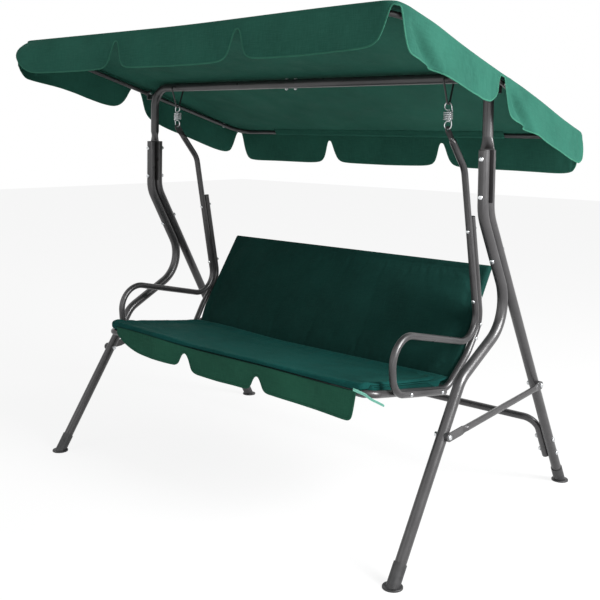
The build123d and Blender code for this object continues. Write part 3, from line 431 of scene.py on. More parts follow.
def studio():
    """A white surround, a pale floor and three lamps."""
    world = bpy.data.worlds.new("studio")
    bpy.context.scene.world = world
    world.use_nodes = True
    tree = world.node_tree
    tree.nodes.clear()
    skies = []
    for strength in (SKY_LIGHT, 1.0):
        sky = tree.nodes.new("ShaderNodeBackground")
        sky.inputs["Color"].default_value = (1, 1, 1, 1)
        sky.inputs["Strength"].default_value = strength
        skies.append(sky.outputs[0])
    output = tree.nodes.new("ShaderNodeOutputWorld")
    tree.links.new(white_for_camera(tree, *skies, 1.0), output.inputs[0])

    corners = [(x * FLOOR_HALF, y * FLOOR_HALF, 0) for x, y in ((-1, -1), (1, -1), (1, 1), (-1, 1))]
    floor = make("floor", corners, [(0, 1, 2, 3)])
    ground = bpy.data.materials.new("pale floor")
    ground.use_nodes = True
    tree = ground.node_tree
    tree.nodes.clear()
    matt = tree.nodes.new("ShaderNodeBsdfDiffuse")
    matt.inputs["Color"].default_value = (FLOOR_GREY, FLOOR_GREY, FLOOR_GREY, 1)
    glow = tree.nodes.new("ShaderNodeEmission")
    glow.inputs["Strength"].default_value = 1.0
    output = tree.nodes.new("ShaderNodeOutputMaterial")
    mixed = white_for_camera(tree, matt.outputs[0], glow.outputs[0], FLOOR_WHITE)
    tree.links.new(mixed, output.inputs[0])
    floor.data.materials.append(ground)

    lamp("key", (3.3, 0.3, 2.3), (0, 0, 0.9), (1.6, 1.6), 270)
    lamp("fill", (-1.2, -4.6, 2.4), (0, 0, 0.8), (3.4, 2.6), 40)
    lamp("front", (3.2, -3.2, 0.9), (0, 0, 0.7), (2.4, 1.6), 22)
    bpy.context.scene.view_settings.view_transform = "Standard"


# ---------------------------------------------------------------- canopy
COVER_LOW, COVER_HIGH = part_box("canopy_cover")
PIVOT = Vector(JOINTS["canopy_tilt"]["pos_m"])
SHEET = 0.0012  # thickness of the cloth
INSET = 0.0008  # from the CAD cover's box to the middle of the cloth
FRONT_Y, REAR_Y = COVER_LOW.y + INSET, COVER_HIGH.y - INSET
MID_Y = (REAR_Y + FRONT_Y) / 2
HALF_Y = (REAR_Y - FRONT_Y) / 2
HALF_X = COVER_HIGH.x - INSET
CORNER = 0.055  # radius of the corners, seen from above

# the top: two slopes from the ridge, which is softened, a slight sag, and a lift of the right front
RIDGE_Y, RIDGE_Z = PIVOT.y + 0.0118, PIVOT.z + 0.0427
FRONT_SLOPE, REAR_SLOPE = 0.2158, 0.3499
RIDGE_SOFT = 0.045
SAG = 0.005
RIGHT_LIFT = 0.013
# how far the cloth sinks from the ridge bar to the side bars, at each Y, and where in X it does so
SIDE_SINK_Y = (-0.41, -0.285, -0.174, -0.056, 0.006, 0.071, 0.207, 0.355, 0.433, 0.50)
SIDE_SINK = (0.0, 0.010, 0.0166, 0.023, 0.0235, 0.019, 0.0125, 0.0095, 0.005, 0.0)
SINK_FROM_X, SINK_TO_X = 0.69, 0.80
# ripples of the top: their heights, how far from the edge they are full, and how far the bar stills them
LONG_RIPPLE, SHORT_RIPPLE, CROSS_RIPPLE = 0.0035, 0.0014, 0.0015
STILL_EDGE, STILL_BAR = 0.12, 0.05
# the same sinking in fine steps and softened
FINE_Y = np.linspace(-0.7, 0.7, 281)
KERNEL = np.exp(-((np.arange(-12, 13) * 0.005 / 0.028) ** 2))
FINE_SINK = np.convolve(np.interp(FINE_Y, SIDE_SINK_Y, SIDE_SINK), KERNEL / KERNEL.sum(), "same")

# the hanging edge
VALANCE = 0.124
REAR_LONGER = 1.035
FOLD_R = 0.009  # where the top turns down into the valance
ROWS = 18
# its notches: their places, the cloth left in the middle, the widths and squareness of their flanks
SQUARE = 3.0
FRONT_NOTCHES, REAR_NOTCHES = (-0.274, 0.274), (-0.300, 0.250)
END_FLOOR, END_FLANK = 0.033, 0.024
CORNER_FLOOR = 0.008
CORNER_FLANKS = {"front edge": 0.036, "rear edge": 0.024, "side at front": 0.019, "side at rear": 0.036}
CORNER_SQUARE_AT_FRONT = 5.0
SIDE_NOTCH = -0.0554 - MID_Y
SIDE_FLOOR = 0.006
SIDE_FLANKS_LEFT, SIDE_FLANKS_RIGHT = (0.050, 0.040), (0.036, 0.021)
SIDE_SQUARE_RIGHT = (2.2, 5.0)  # ahead of the middle, and behind it
# its shape: standing out below, a flare at the left front corner, and two valleys on the right side
STAND_OUT = 0.013
CORNER_FLARE, CORNER_FLARE_LOW, CORNER_FLARE_REACH = 0.041, 0.004, 0.16
VALLEYS_Y = (-0.55, -0.03)
VALLEY_DEPTH, VALLEY_WIDTH, VALLEY_LEAN = 0.024, 0.032, 1.1
# its folds, and the puckers along the binding: their depths, and the lengths from one to the next
SLOW_FOLD, MIDDLE_FOLD = 0.010, 0.0045
SMALL_FOLD, SMALL_PITCH = 0.0013, 0.052
PUCKER, PUCKER_PITCH, PUCKER_HEIGHT = 0.0011, 0.0155, 0.016


def top_height(x, y):
    """Height of the top sheet: two slopes over a soft ridge, sinking to the side bars, with a sag."""
    ahead = RIDGE_Y - y
    z = RIDGE_Z + np.where(ahead > 0, FRONT_SLOPE, REAR_SLOPE) * ahead
    z = z - (REAR_SLOPE - FRONT_SLOPE) * 0.25 * RIDGE_SOFT * np.exp(-((ahead / RIDGE_SOFT) ** 2))
    front_span, rear_span = RIDGE_Y - FRONT_Y, REAR_Y - RIDGE_Y
    t = np.where(ahead > 0, ahead / front_span, -ahead / rear_span)
    side = np.abs(x) / HALF_X
    sink = np.interp(y, FINE_Y, FINE_SINK) * smooth(SINK_FROM_X, SINK_TO_X, np.abs(x))
    sag = SAG * np.sin(math.pi * np.clip(t, 0, 1)) * (1 - side**4)
    lift = RIGHT_LIFT * smooth(-0.1, 0.8, x) * np.clip(ahead / front_span, 0, 1) ** 2
    return z - sink - sag + lift


def lines(half, marks, reach, fine=0.0035, coarse=0.015):
    """Grid lines from 0 to half, close together near the marks."""
    out = [0.0]
    while out[-1] < half:
        near = min(abs(out[-1] - m) for m in marks)
        out.append(out[-1] + fine + (coarse - fine) * float(smooth(reach, 2 * reach, near)))
    scale = half / out[-1]
    return [v * scale for v in out]


def round_corner(u, v, half_u, half_v, radius):
    """Bends the square corners of a rectangle to arcs."""
    a = np.clip((np.abs(u) - (half_u - radius)) / radius, 0, 1)
    b = np.clip((np.abs(v) - (half_v - radius)) / radius, 0, 1)
    new_a = a * np.sqrt(1 - b * b / 2)
    new_b = b * np.sqrt(1 - a * a / 2)
    return u - np.sign(u) * radius * (a - new_a), v - np.sign(v) * radius * (b - new_b)


def notched(full, floor, distance, before, after, square=SQUARE):
    """Hanging depth: floor in the middle of a notch, full away from it, over flanks of two widths."""
    r = (np.abs(distance) / np.where(distance < 0, before, after)) ** square
    return floor + (full - floor) * (r / (1 + r))


def flat_grid():
    """The top sheet laid flat about its middle, with close lines at its notches and edges."""
    right = lines(HALF_X, [FRONT_NOTCHES[1], HALF_X], 0.06)
    xs = np.array([-v for v in reversed(right[1:])] + right)
    front, rear = HALF_Y + SIDE_NOTCH, HALF_Y - SIDE_NOTCH
    ahead, behind = lines(front, [0, front], 0.05), lines(rear, [0, rear], 0.05)
    ys = np.array([SIDE_NOTCH - v for v in reversed(ahead[1:])] + [SIDE_NOTCH + v for v in behind])
    return np.meshgrid(xs, ys)


def top_points(gx, gy):
    """The top sheet in its place, with ripples away from its bars, and its edge turned down."""
    rx, ry = round_corner(gx, gy, HALF_X, HALF_Y, CORNER)
    ry = ry + MID_Y
    top = np.stack([rx, ry, top_height(rx, ry)], -1).reshape(-1, 3)
    from_edge = np.minimum(HALF_X - np.abs(gx), HALF_Y - np.abs(gy)).ravel()
    over_bar = np.exp(-(((ry.ravel() - PIVOT.y) / STILL_BAR) ** 2))
    ripple = waves(top, 3.2, 3, 2) * LONG_RIPPLE + waves(top, 11.0, 4) * SHORT_RIPPLE
    ripple += waves(top * [1.0, 0.25, 1.0], 9.0, 5) * CROSS_RIPPLE
    top[:, 2] += ripple * smooth(0.0, STILL_EDGE, from_edge) * (1 - 0.9 * over_bar)
    bent = np.clip(1 - from_edge / FOLD_R, 0, 1)
    top[:, 2] -= FOLD_R * (1 - np.sqrt(1 - bent**2))
    return top


def hanging_depth(gx, gy, loop):
    """How far the cloth hangs down at each point of the rim, with its notches."""
    on_end = np.abs(np.abs(gy) - HALF_Y) < 1e-6  # front or rear edge, not a side
    at_front = gy < 0
    full = VALANCE * (1 + 0.05 * waves(loop * [1, 1, 3.5], 1.0, 21))
    full = np.where(gy > HALF_Y - 1e-6, full * REAR_LONGER, full)
    to_corner = np.where(on_end, HALF_X - np.abs(gx), HALF_Y - np.abs(gy))
    on_edges = np.where(at_front, CORNER_FLANKS["front edge"], CORNER_FLANKS["rear edge"])
    on_sides = np.where(at_front, CORNER_FLANKS["side at front"], CORNER_FLANKS["side at rear"])
    flank = np.where(on_end, on_edges, on_sides)
    square = np.where(~on_end & at_front, CORNER_SQUARE_AT_FRONT, SQUARE)
    depth = np.minimum(full, notched(full, CORNER_FLOOR, to_corner, flank, flank, square))
    for edge, marks in ((-1, FRONT_NOTCHES), (1, REAR_NOTCHES)):
        here = on_end & (gy * edge > 0)
        for x in marks:
            cut = notched(full, END_FLOOR, gx - x, END_FLANK, END_FLANK)
            depth = np.where(here, np.minimum(depth, cut), depth)
    # the notch over the leg gapes on the left side, and is slanted ahead and square behind on the right
    flanks = [np.where(gx < 0, a, b) for a, b in zip(SIDE_FLANKS_LEFT, SIDE_FLANKS_RIGHT)]
    square = np.where(gx < 0, SQUARE, np.where(gy < SIDE_NOTCH, *SIDE_SQUARE_RIGHT))
    cut = notched(full, SIDE_FLOOR, gy - SIDE_NOTCH, *flanks, square)
    return np.where(on_end, depth, np.minimum(depth, cut))


def hanging_rows(rim, gx, gy):
    """Rows of points down the hanging edge below the rim, each with its places in the flat cloth."""
    plan = rim[:, :2]
    tangent = np.roll(plan, -1, 0) - np.roll(plan, 1, 0)
    out = np.stack([tangent[:, 1], -tangent[:, 0]], -1)
    out /= np.linalg.norm(out, axis=1)[:, None]
    for _ in range(3):
        out = (np.roll(out, 1, 0) + 2 * out + np.roll(out, -1, 0)) / 4
    out /= np.linalg.norm(out, axis=1)[:, None]
    step = np.linalg.norm(np.roll(plan, -1, 0) - plan, axis=1)
    length = np.concatenate([[0], np.cumsum(step)[:-1]])
    loop = np.stack([np.cos(length / 0.9), np.sin(length / 0.9), length], -1)
    depth = hanging_depth(gx, gy, loop)

    on_right = gx > HALF_X - 1e-6
    stronger = np.where(on_right, 2.0, 1.0)
    slow = waves(loop * [1, 1, 5.0], 1.0, 11) * SLOW_FOLD
    middle = waves(loop * [1, 1, 14.0], 1.0, 12) * MIDDLE_FOLD
    patchy = smooth(-0.15, 0.35, waves(loop * [1, 1, 9.0], 1.0, 13))
    pucker = np.sin(TAU * length / PUCKER_PITCH + 3 * waves(loop * [1, 1, 22.0], 1.0, 14))
    pucker = pucker * patchy * stronger
    some = smooth(-0.2, 0.4, waves(loop * [1, 1, 6.0], 1.0, 16))
    small_folds = np.sin(TAU * length / SMALL_PITCH + 4 * waves(loop * [1, 1, 8.0], 1.0, 15))
    small_folds = small_folds * some * stronger
    corner = np.exp(-((np.hypot(plan[:, 0] + HALF_X, plan[:, 1] - FRONT_Y) / CORNER_FLARE_REACH) ** 2))
    rows, cloths = [], []
    for k in range(1, ROWS + 1):
        drop = np.maximum(depth - FOLD_R, 0.002) * (k / ROWS) ** 0.94
        hang = drop / VALANCE
        inside = np.clip(hang, 0, 1)
        off = STAND_OUT * hang**1.3 + slow * hang + middle * hang**1.5
        off += corner * (CORNER_FLARE * np.sin(math.pi * inside**0.8) + CORNER_FLARE_LOW * hang)
        off += PUCKER * pucker * np.exp(-(depth - drop) / PUCKER_HEIGHT)
        off += SMALL_FOLD * small_folds * np.sin(math.pi * inside)
        for start in VALLEYS_Y:
            across = gy + MID_Y - start - VALLEY_LEAN * drop
            valley = np.exp(-((across / VALLEY_WIDTH) ** 2)) * smooth(0.1, 0.7, hang)
            off -= np.where(on_right, VALLEY_DEPTH * valley, 0)
        rows.append(np.column_stack([plan + out * off[:, None], rim[:, 2] - drop]))
        cloths.append(np.stack([length, -drop, np.zeros(len(rim))], -1))
    return rows, cloths


def build_cover():
    """The whole cover as one sheet, with the last row of its edge and a row a little further up."""
    gx, gy = flat_grid()
    ny, nx = gx.shape
    top = top_points(gx, gy)
    gx, gy = gx.ravel(), gy.ravel()
    rim = list(range(nx)) + [j * nx + nx - 1 for j in range(1, ny)]
    rim += [(ny - 1) * nx + i for i in range(nx - 2, -1, -1)] + [j * nx for j in range(ny - 2, 0, -1)]
    rows, cloths = hanging_rows(top[rim], gx[rim], gy[rim])

    faces = loop_faces(ny, nx, False)
    above = rim
    for k in range(ROWS):
        below = [nx * ny + k * len(rim) + i for i in range(len(rim))]
        for i in range(len(rim)):
            j = (i + 1) % len(rim)
            faces.append((above[i], below[i], below[j], above[j]))
        above = below
    cloth = np.stack([gx, gy, np.zeros(nx * ny)], -1)
    verts, cloth = np.concatenate([top, *rows]), np.concatenate([cloth, *cloths])
    cover = make("canopy_cloth", verts, faces, cloth)
    cover.data.materials.append(CLOTH)
    return cover, rows[-1], rows[-3]


def build_binding(name, edge, inner, closed, material, height=0.0038, thick=0.0022):
    """Folded tape round a cloth edge, height up the cloth. inner holds points further up the cloth."""
    inward = inner - edge
    if closed:
        tangent = np.roll(edge, -1, 0) - np.roll(edge, 1, 0)
    else:
        tangent = np.gradient(edge, axis=0)
    tangent /= np.maximum(np.linalg.norm(tangent, axis=1), 1e-6)[:, None]
    inward = inward - tangent * np.sum(inward * tangent, axis=1)[:, None]
    inward /= np.maximum(np.linalg.norm(inward, axis=1), 1e-6)[:, None]
    normal = np.cross(tangent, inward)
    half = thick / 2
    profile = [
        (height, half * 0.8),
        (height * 0.5, half),
        (0.0, half),
        (-half * 0.8, half * 0.5),
        (-half * 0.8, -half * 0.5),
        (0.0, -half),
        (height * 0.5, -half),
        (height, -half * 0.8),
    ]
    verts, cloth = [], []
    run = np.concatenate([[0], np.cumsum(np.linalg.norm(np.diff(edge, axis=0), axis=1))])
    for i in range(len(edge)):
        for a, b in profile:
            verts.append(edge[i] + inward[i] * a + normal[i] * b)
            cloth.append((run[i], a + b, 0))
    faces = loop_faces(len(edge), len(profile), True, closed)
    if not closed:
        faces.append(tuple(range(len(profile))))
        last = (len(edge) - 1) * len(profile)
        faces.append(tuple(reversed(range(last, last + len(profile)))))
    obj = make(name, verts, faces, cloth)
    obj.data.materials.append(material)
    return obj


SLEEVE_R, SLEEVE_SHEET, SLEEVE_WOBBLE = 0.0096, 0.0008, 0.0007
CANOPY_BAR_R = 0.008
SLEEVE_SEAMS = (0.015, 0.022)  # where it is sewn to the cover, outside and inside of the bar


def build_sleeve(name, node, first_x, last_x, ahead):
    """A cloth channel sewn under the cover that holds an end bar. ahead is -1 in front, 1 behind."""
    low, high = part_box(node)
    y = (high.y - CANOPY_BAR_R) if ahead > 0 else (low.y + CANOPY_BAR_R)
    z = (low.z + CANOPY_BAR_R) if ahead > 0 else (high.z - CANOPY_BAR_R)
    xs = np.linspace(first_x, last_x, 200)
    seams = (y + ahead * SLEEVE_SEAMS[0], y - ahead * SLEEVE_SEAMS[1])
    verts, cloth = [], []
    for x in xs:
        outside, inside = ((v, float(top_height(np.array(x), np.array(v))) - SHEET) for v in seams)
        r = SLEEVE_R + SLEEVE_WOBBLE * noise.noise(Vector((x * 16, y, 0.3)))
        angles = [math.radians(12 - 204 * k / 14) for k in range(15)]
        ring = [outside, *((y + ahead * math.cos(a) * r, z + math.sin(a) * r) for a in angles), inside]
        for k, (py, pz) in enumerate(ring):
            verts.append((x, py, pz))
            cloth.append((x, k * 0.003, 0))
    obj = make(name, verts, loop_faces(len(xs), len(ring), False), cloth)
    obj.data.materials.append(CLOTH)
    thicken(obj, SLEEVE_SHEET)
    return obj


def canopy():
    cover, edge, inner = build_cover()
    thicken(cover, SHEET)
    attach(cover, "canopy")
    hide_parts("canopy_cover")
    extras = [
        build_binding("canopy_binding", edge, inner, True, BINDING),
        build_sleeve("canopy_sleeve_front", "canopy_front_bar", -0.62, 0.62, -1),
        build_sleeve("canopy_sleeve_rear", "canopy_rear_bar", -0.58, 0.53, 1),
    ]
    for piece in extras:
        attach(piece, "canopy")


# ---------------------------------------------------------------- springs
# millimetres from here on
HANG_X = 622.0
WIRE_R, RING_R, COIL_R = 1.9, 12.3, 13.3
UPPER_RING_Z, COIL_TOP, COIL_LOW, LOWER_RING_Z = 1295.7, 1280.46, 1252.86, 1237.62
COIL_TURNS = 5
HOOK_ARC = np.radians(np.arange(302, -1, -7))  # from the open hook's tip to where the wire turns down
LEAD = 12.0  # the height over which the wire widens from the hook to the coil


def spring_path(side):
    """One wire: open hook, coil and open hook. The lower hook is the upper one turned over."""
    hook = []
    for a in HOOK_ARC:
        hook.append((RING_R * math.cos(a), 0.0, UPPER_RING_Z + RING_R * math.sin(a)))
    for share in (0.25, 0.5, 0.75):
        hook.append((RING_R + (COIL_R - RING_R) * share, 0.0, UPPER_RING_Z - LEAD * share))
    coil = []
    for t in np.linspace(0.03, COIL_TURNS - 0.03, 40 * COIL_TURNS):
        a = TAU * t
        height = COIL_TOP + (COIL_LOW - COIL_TOP) * t / COIL_TURNS
        coil.append((COIL_R * math.cos(a), COIL_R * math.sin(a), height))
    middle = UPPER_RING_Z + LOWER_RING_Z
    low_hook = [(x, y, middle - z) for x, y, z in reversed(hook)]
    path = np.array(hook + coil + low_hook)
    for _ in range(3):
        path[1:-1] = (path[:-2] + 2 * path[1:-1] + path[2:]) / 4
    path[:, 0] *= side
    path[:, 0] += side * HANG_X
    return np.array([at(*p) for p in path])


def springs():
    for side, name in ((-1, "left"), (1, "right")):
        piece = swept("spring_wire_" + name, spring_path(side), WIRE_R / MM, 14)
        piece.data.materials.append(MATERIALS["zinc"])
        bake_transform(piece)
        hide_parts("spring_" + name)


# ---------------------------------------------------------------- padding
def puff(obj, hold, pressure, growth, cap, frames=20):
    """Fills the closed mesh like a cushion. hold is 1 where a point stays and 0 where it is free.

    growth is the share by which the cloth is larger, and cap the most that a point moves, in metres.
    """
    rest = points_of(obj)
    group = obj.vertex_groups.new(name="hold")
    steps = 20
    levels = np.round(np.clip(hold, 0, 1) * steps).astype(int)
    for level in range(1, steps + 1):
        found = np.nonzero(levels == level)[0]
        if len(found):
            group.add([int(i) for i in found], level / steps, "REPLACE")
    cloth = obj.modifiers.new("cloth", "CLOTH")
    s = cloth.settings
    s.quality = 6
    s.mass = 0.25
    s.tension_stiffness = 14
    s.compression_stiffness = 14
    s.shear_stiffness = 6
    s.bending_stiffness = 0.9
    s.use_pressure = True
    s.uniform_pressure_force = pressure
    s.shrink_min = -growth
    s.vertex_group_mass = "hold"
    s.effector_weights.gravity = 0
    cloth.point_cache.frame_start = 1
    cloth.point_cache.frame_end = frames
    scene = bpy.context.scene
    for step in range(1, frames + 1):
        scene.frame_set(step)
    apply_all(obj)
    scene.frame_set(1)
    obj.vertex_groups.clear()
    move = points_of(obj) - rest
    size = np.maximum(np.linalg.norm(move, axis=1), 1e-9)
    set_points(obj, rest + move * (cap * np.tanh(size / cap) / size)[:, None])


def subdivide(obj):
    modifier = obj.modifiers.new("subdivision", "SUBSURF")
    modifier.levels = modifier.render_levels = 1
    apply_all(obj)


def closed_ring(points, count):
    """Points evenly round a closed outline, and how far round each one is."""
    p = np.asarray(points, float)
    p = np.concatenate([p, p[:1]])
    run = np.concatenate([[0], np.cumsum(np.linalg.norm(np.diff(p, axis=0), axis=1))])
    even = np.linspace(0, run[-1], count, endpoint=False)
    return np.stack([np.interp(even, run, p[:, k]) for k in range(2)], -1), even


CREASE = (91.0, 429.0)  # Y and Z where the seat meets the back
SEAT_FALL = 0.1445
SEAT_HALF, SEAT_FULL_HALF = 585.5, 555.0  # half width, and where the padding starts to thin to its ends
HEM_SHARE, HEM_SHARE_BEHIND = 0.12, 0.75  # thickness left at the sewn ends, and where they reach the back
HEM_UNDER_TOP, HEM_DROOP = 2.0, 5.0  # the line that the ends thin to, below the top
CORNER_BACK = 22.0  # how far the front corners are rounded back
LEFT_RISE, RIGHT_DROP = 13.0, 6.0


def seat_top(y):
    return CREASE[1] + SEAT_FALL * (CREASE[0] - y)


def left_rise(x):
    """How far the seat stands up towards its left end, which hangs higher."""
    return LEFT_RISE * smooth(-80, -500, x)


def right_drop(x):
    """How far the front seam runs down towards its right end."""
    return RIGHT_DROP * smooth(150, 540, x)


# Y and Z round the padding in the middle: front roll, top, end at the crease, and underside
SEAT_SECTION = [
    (-360.2, 477.8),
    (-363.2, 482.0),
    (-363.0, 488.0),
    (-357.5, 493.8),
    (-347.0, 496.6),
    (-330.0, 496.0),
    (-300.0, seat_top(-300) + 3.0),
    (-200.0, seat_top(-200) + 3.0),
    (-60.0, seat_top(-60) + 3.0),
    (40.0, seat_top(40) + 3.0),
    (72.0, seat_top(72) + 3.0),
    (88.0, seat_top(88) + 3.0),
    (98.5, 430.0),
    (98.0, 420.5),
    (46.4, 421.6),
    (40.0, 408.0),
    (33.0, 392.5),
    (20.0, 393.5),
    (-150.0, 418.2),
    (-325.0, 443.4),
    (-334.0, 446.5),
    (-335.6, 455.0),
    (-335.4, 465.7),
    (-338.8, 474.0),
    (-347.0, 477.4),
    (-354.0, 477.8),
]


def seat_pad():
    """The seat's padding: a roll over the front rail, full in the middle, thin hems at both ends."""
    ring, run = closed_ring(SEAT_SECTION, 150)
    for _ in range(2):
        ring = (np.roll(ring, 1, 0) + 2 * ring + np.roll(ring, -1, 0)) / 4
    ring_y, ring_z = ring.T
    inner = np.linspace(-SEAT_FULL_HALF, SEAT_FULL_HALF, 152)
    tail = SEAT_FULL_HALF + (SEAT_HALF - SEAT_FULL_HALF) * np.sin(np.linspace(0, math.pi / 2, 12)[1:])
    xs = np.concatenate([-tail[::-1], inner, tail])
    upper = smooth(-16.0, -4.0, ring_z - seat_top(ring_y))
    roll = smooth(-352.0, -358.0, ring_y) * smooth(476, 478, ring_z)
    kept = HEM_SHARE_BEHIND * smooth(-40, 50, ring_y)
    verts, cloth = [], []
    for x in xs:
        end = np.clip((abs(x) - SEAT_FULL_HALF) / (SEAT_HALF - SEAT_FULL_HALF), 0, 1)
        full = math.sqrt(max(0.0, 1 - end**2))
        spine = seat_top(ring_y) - HEM_UNDER_TOP - HEM_DROOP * end**2 * smooth(60, 0, ring_y)
        z = spine + (ring_z - spine) * (HEM_SHARE + (1 - HEM_SHARE) * np.maximum(full, kept))
        y = ring_y + CORNER_BACK * end**3 * smooth(-200, -360, ring_y)
        z = z + upper * left_rise(x) - roll * right_drop(x)
        for py, pz, r in zip(y, z, run):
            verts.append(at(x, py, pz))
            cloth.append((x / MM, r / MM, 0))
    count = len(ring)
    faces = loop_faces(len(xs), count, True)
    # the flat ends are closed across with quads
    for first, flip in ((0, False), ((len(xs) - 1) * count, True)):
        for i in range(count // 2 - 1):
            a, b, c, d = first + i, first + i + 1, first + count - 2 - i, first + count - 1 - i
            faces.append((d, c, b, a) if flip else (a, b, c, d))
    pad = make("seat_pad", verts, faces, cloth)
    pad.data.materials.append(PAD_CLOTH)
    co = points_of(pad)
    y_mm = (co[:, 1] - BAR_Y) * MM
    upper = smooth(-8.0, -2.0, co[:, 2] * MM - seat_top(y_mm))
    side = smooth(583, 566, np.abs(co[:, 0]) * MM)
    free = upper * side * smooth(90, 66, y_mm) * smooth(-361.5, -352, y_mm)
    # sewn ends gather the cloth, the most at the front corners
    gather = smooth(470, 575, np.abs(co[:, 0]) * MM) * smooth(-150, -330, y_mm)
    folds = np.sin(y_mm / 9.0 + 2.5 * waves(co, 14.0, 31))
    co[:, 2] += 0.0016 * gather * folds * upper
    front = smooth(-325, -352, y_mm) * upper
    ripple = np.sin(co[:, 0] * MM / 5.2 + 4 * waves(co * [1, 0, 0], 16.0, 32))
    co[:, 2] += 0.0007 * front * ripple
    set_points(pad, co)
    puff(pad, 1 - free, pressure=3.2, growth=0.014, cap=0.011)
    co = points_of(pad)
    soft = waves(co * [1.0, 1.6, 1.0], 6.0, 33, 2) * 0.0022
    soft += waves(co * [0.6, 1.9, 1.0], 16.0, 34) * 0.0010
    co[:, 2] += soft * free
    set_points(pad, co)
    subdivide(pad)
    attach(pad, "seat")
    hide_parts("seat_cushion")


LEAN = math.radians(33.6)  # of the back, from upright
UP = (math.sin(LEAN), math.cos(LEAN))  # Y and Z up the back
FACE = (-math.cos(LEAN), math.sin(LEAN))  # Y and Z out of its front face
BACK_TOP, BACK_FOOT = 414.0, -30.0
BACK_HALF, BACK_LOW_HALF = 606.0, 590.0
BACK_THICK = 26.0
BACK_END = 7.0  # height of the rounded lower end
CHANNEL_FROM_EDGE, CHANNEL_WIDTH, CHANNEL_DEPTH = 27.0, 4.0, 1.5
CROWN = 3.0


def back_at(x, up, out):
    """A point of the back, up from the crease and out of its front face. Below the crease it hangs."""
    lean = UP if up > 0 else (0.0, 1.0)
    return at(x, CREASE[0] + lean[0] * up + FACE[0] * out, CREASE[1] + lean[1] * up + FACE[1] * out)


def back_pad():
    """The padded back over its tube frame: crisp corners, a sewn channel, full in the middle."""
    nx, nw = 171, 63
    closer = 1.15  # brings the grid's lines nearer to the edges
    u = np.linspace(-1, 1, nx)
    u = np.sign(u) * (1 - (1 - np.abs(u)) ** closer)
    w = np.linspace(0, 1, nw)
    w = np.where(w > 0.5, 1 - 0.5 * (2 - 2 * w) ** closer, 0.5 * (2 * w) ** closer)
    verts, cloth, free, index = [], [], [], {}
    r = BACK_THICK / 2
    for face in (0, 1):
        for j in range(nw):
            low = (BACK_TOP - BACK_FOOT) * w[j]
            up = BACK_FOOT + low
            half = BACK_LOW_HALF + (BACK_HALF - BACK_LOW_HALF) * float(smooth(-10, 95, up))
            for i in range(nx):
                rim = i in (0, nx - 1) or j in (0, nw - 1)
                if face == 1 and rim:
                    index[1, j, i] = index[0, j, i]
                    continue
                x = u[i] * half
                edge = max(0.0, min(half - abs(x), BACK_TOP - up))
                # the section ends in a half circle round the tube, and thins to the crease
                thick = r if edge >= r else math.sqrt(max(0.0, r * r - (r - edge) ** 2))
                thick *= 0.85 + 0.15 * float(smooth(0, 60, low))
                if low < BACK_END:
                    thick *= math.sqrt(max(0.0, 1 - (1 - low / BACK_END) ** 2))
                channel = math.exp(-(((edge - CHANNEL_FROM_EDGE) / CHANNEL_WIDTH) ** 2))
                channel *= CHANNEL_DEPTH * float(smooth(90, 130, up))
                crown = CROWN * float(smooth(BACK_THICK, 130, edge)) * float(smooth(0, 90, low))
                out = thick - channel + crown if face == 0 else channel - thick - 0.3 * crown
                index[face, j, i] = len(verts)
                verts.append(back_at(x, up, out - r))
                cloth.append((x / MM, up / MM, 0))
                loose = float(smooth(14, 60, edge)) * float(smooth(6, 50, low))
                free.append(loose * (1.0 if face == 0 else 0.4))
    faces = []
    for j in range(nw - 1):
        for i in range(nx - 1):
            for face in (0, 1):
                corners = [index[face, j + b, i + a] for a, b in ((0, 0), (1, 0), (1, 1), (0, 1))]
                faces.append(tuple(corners if face == 0 else reversed(corners)))
    pad = make("back_pad", verts, faces, cloth)
    # darker cloth on the back: painted shade of the canopy
    pad.data.materials.append(BACK_CLOTH_PAINTED_SHADE)
    free = np.array(free)
    puff(pad, 1 - free, pressure=2.2, growth=0.008, cap=0.008)
    co = points_of(pad)
    x_mm = co[:, 0] * MM
    up_mm = (co[:, 2] * MM - CREASE[1]) / UP[1]
    low_right = smooth(60, 420, x_mm) * smooth(260, 60, up_mm)
    ripple = waves(co, 5.0, 41, 2) * 0.0022
    ripple += waves(co * [0.5, 1.0, 2.2], 13.0, 42) * (0.0007 + 0.0024 * low_right)
    normal = np.array([0, FACE[0], FACE[1]])
    co += normal * (ripple * free)[:, None]
    set_points(pad, co)
    subdivide(pad)
    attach(pad, "seat")
    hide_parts("back_cushion")


# ---------------------------------------------------------------- seat skirt
SKIRT_Y = -360.0
SKIRT_TOP = 477.8  # at the middle
SKIRT_DEEP = 90.0
# lower edge of the skirt: a big arc at the left, three scallops, a square end at the right
SKIRT_EDGE = [
    (-536, 470), (-527, 461), (-508, 449), (-484, 436), (-450, 424), (-408, 414.5), (-350, 409),
    (-283, 407.5), (-232, 408), (-213, 411), (-200, 420), (-191, 436), (-183, 449), (-171, 456),
    (-160, 451), (-150, 438), (-141, 420), (-132, 406), (-116, 398), (-90, 395), (-17, 392),
    (60, 392.5), (112, 393), (130, 397), (141, 408), (149, 424), (157, 436), (167, 441),
    (177, 436), (186, 422), (196, 406), (210, 397), (240, 394), (337, 390), (440, 385.5),
    (505, 382), (525, 381.5), (536, 384), (543, 391), (547.5, 405), (552, 430), (559, 474),
]  # fmt: skip
SKIRT_SLOW_FOLD, SKIRT_SMALL_FOLD = 5.0, 2.2
GATHER_DEPTH, GATHER_HEIGHT = 1.3, 13.0  # of the gathers below the seam


def skirt_top(x):
    return SKIRT_TOP + left_rise(x) - right_drop(x)


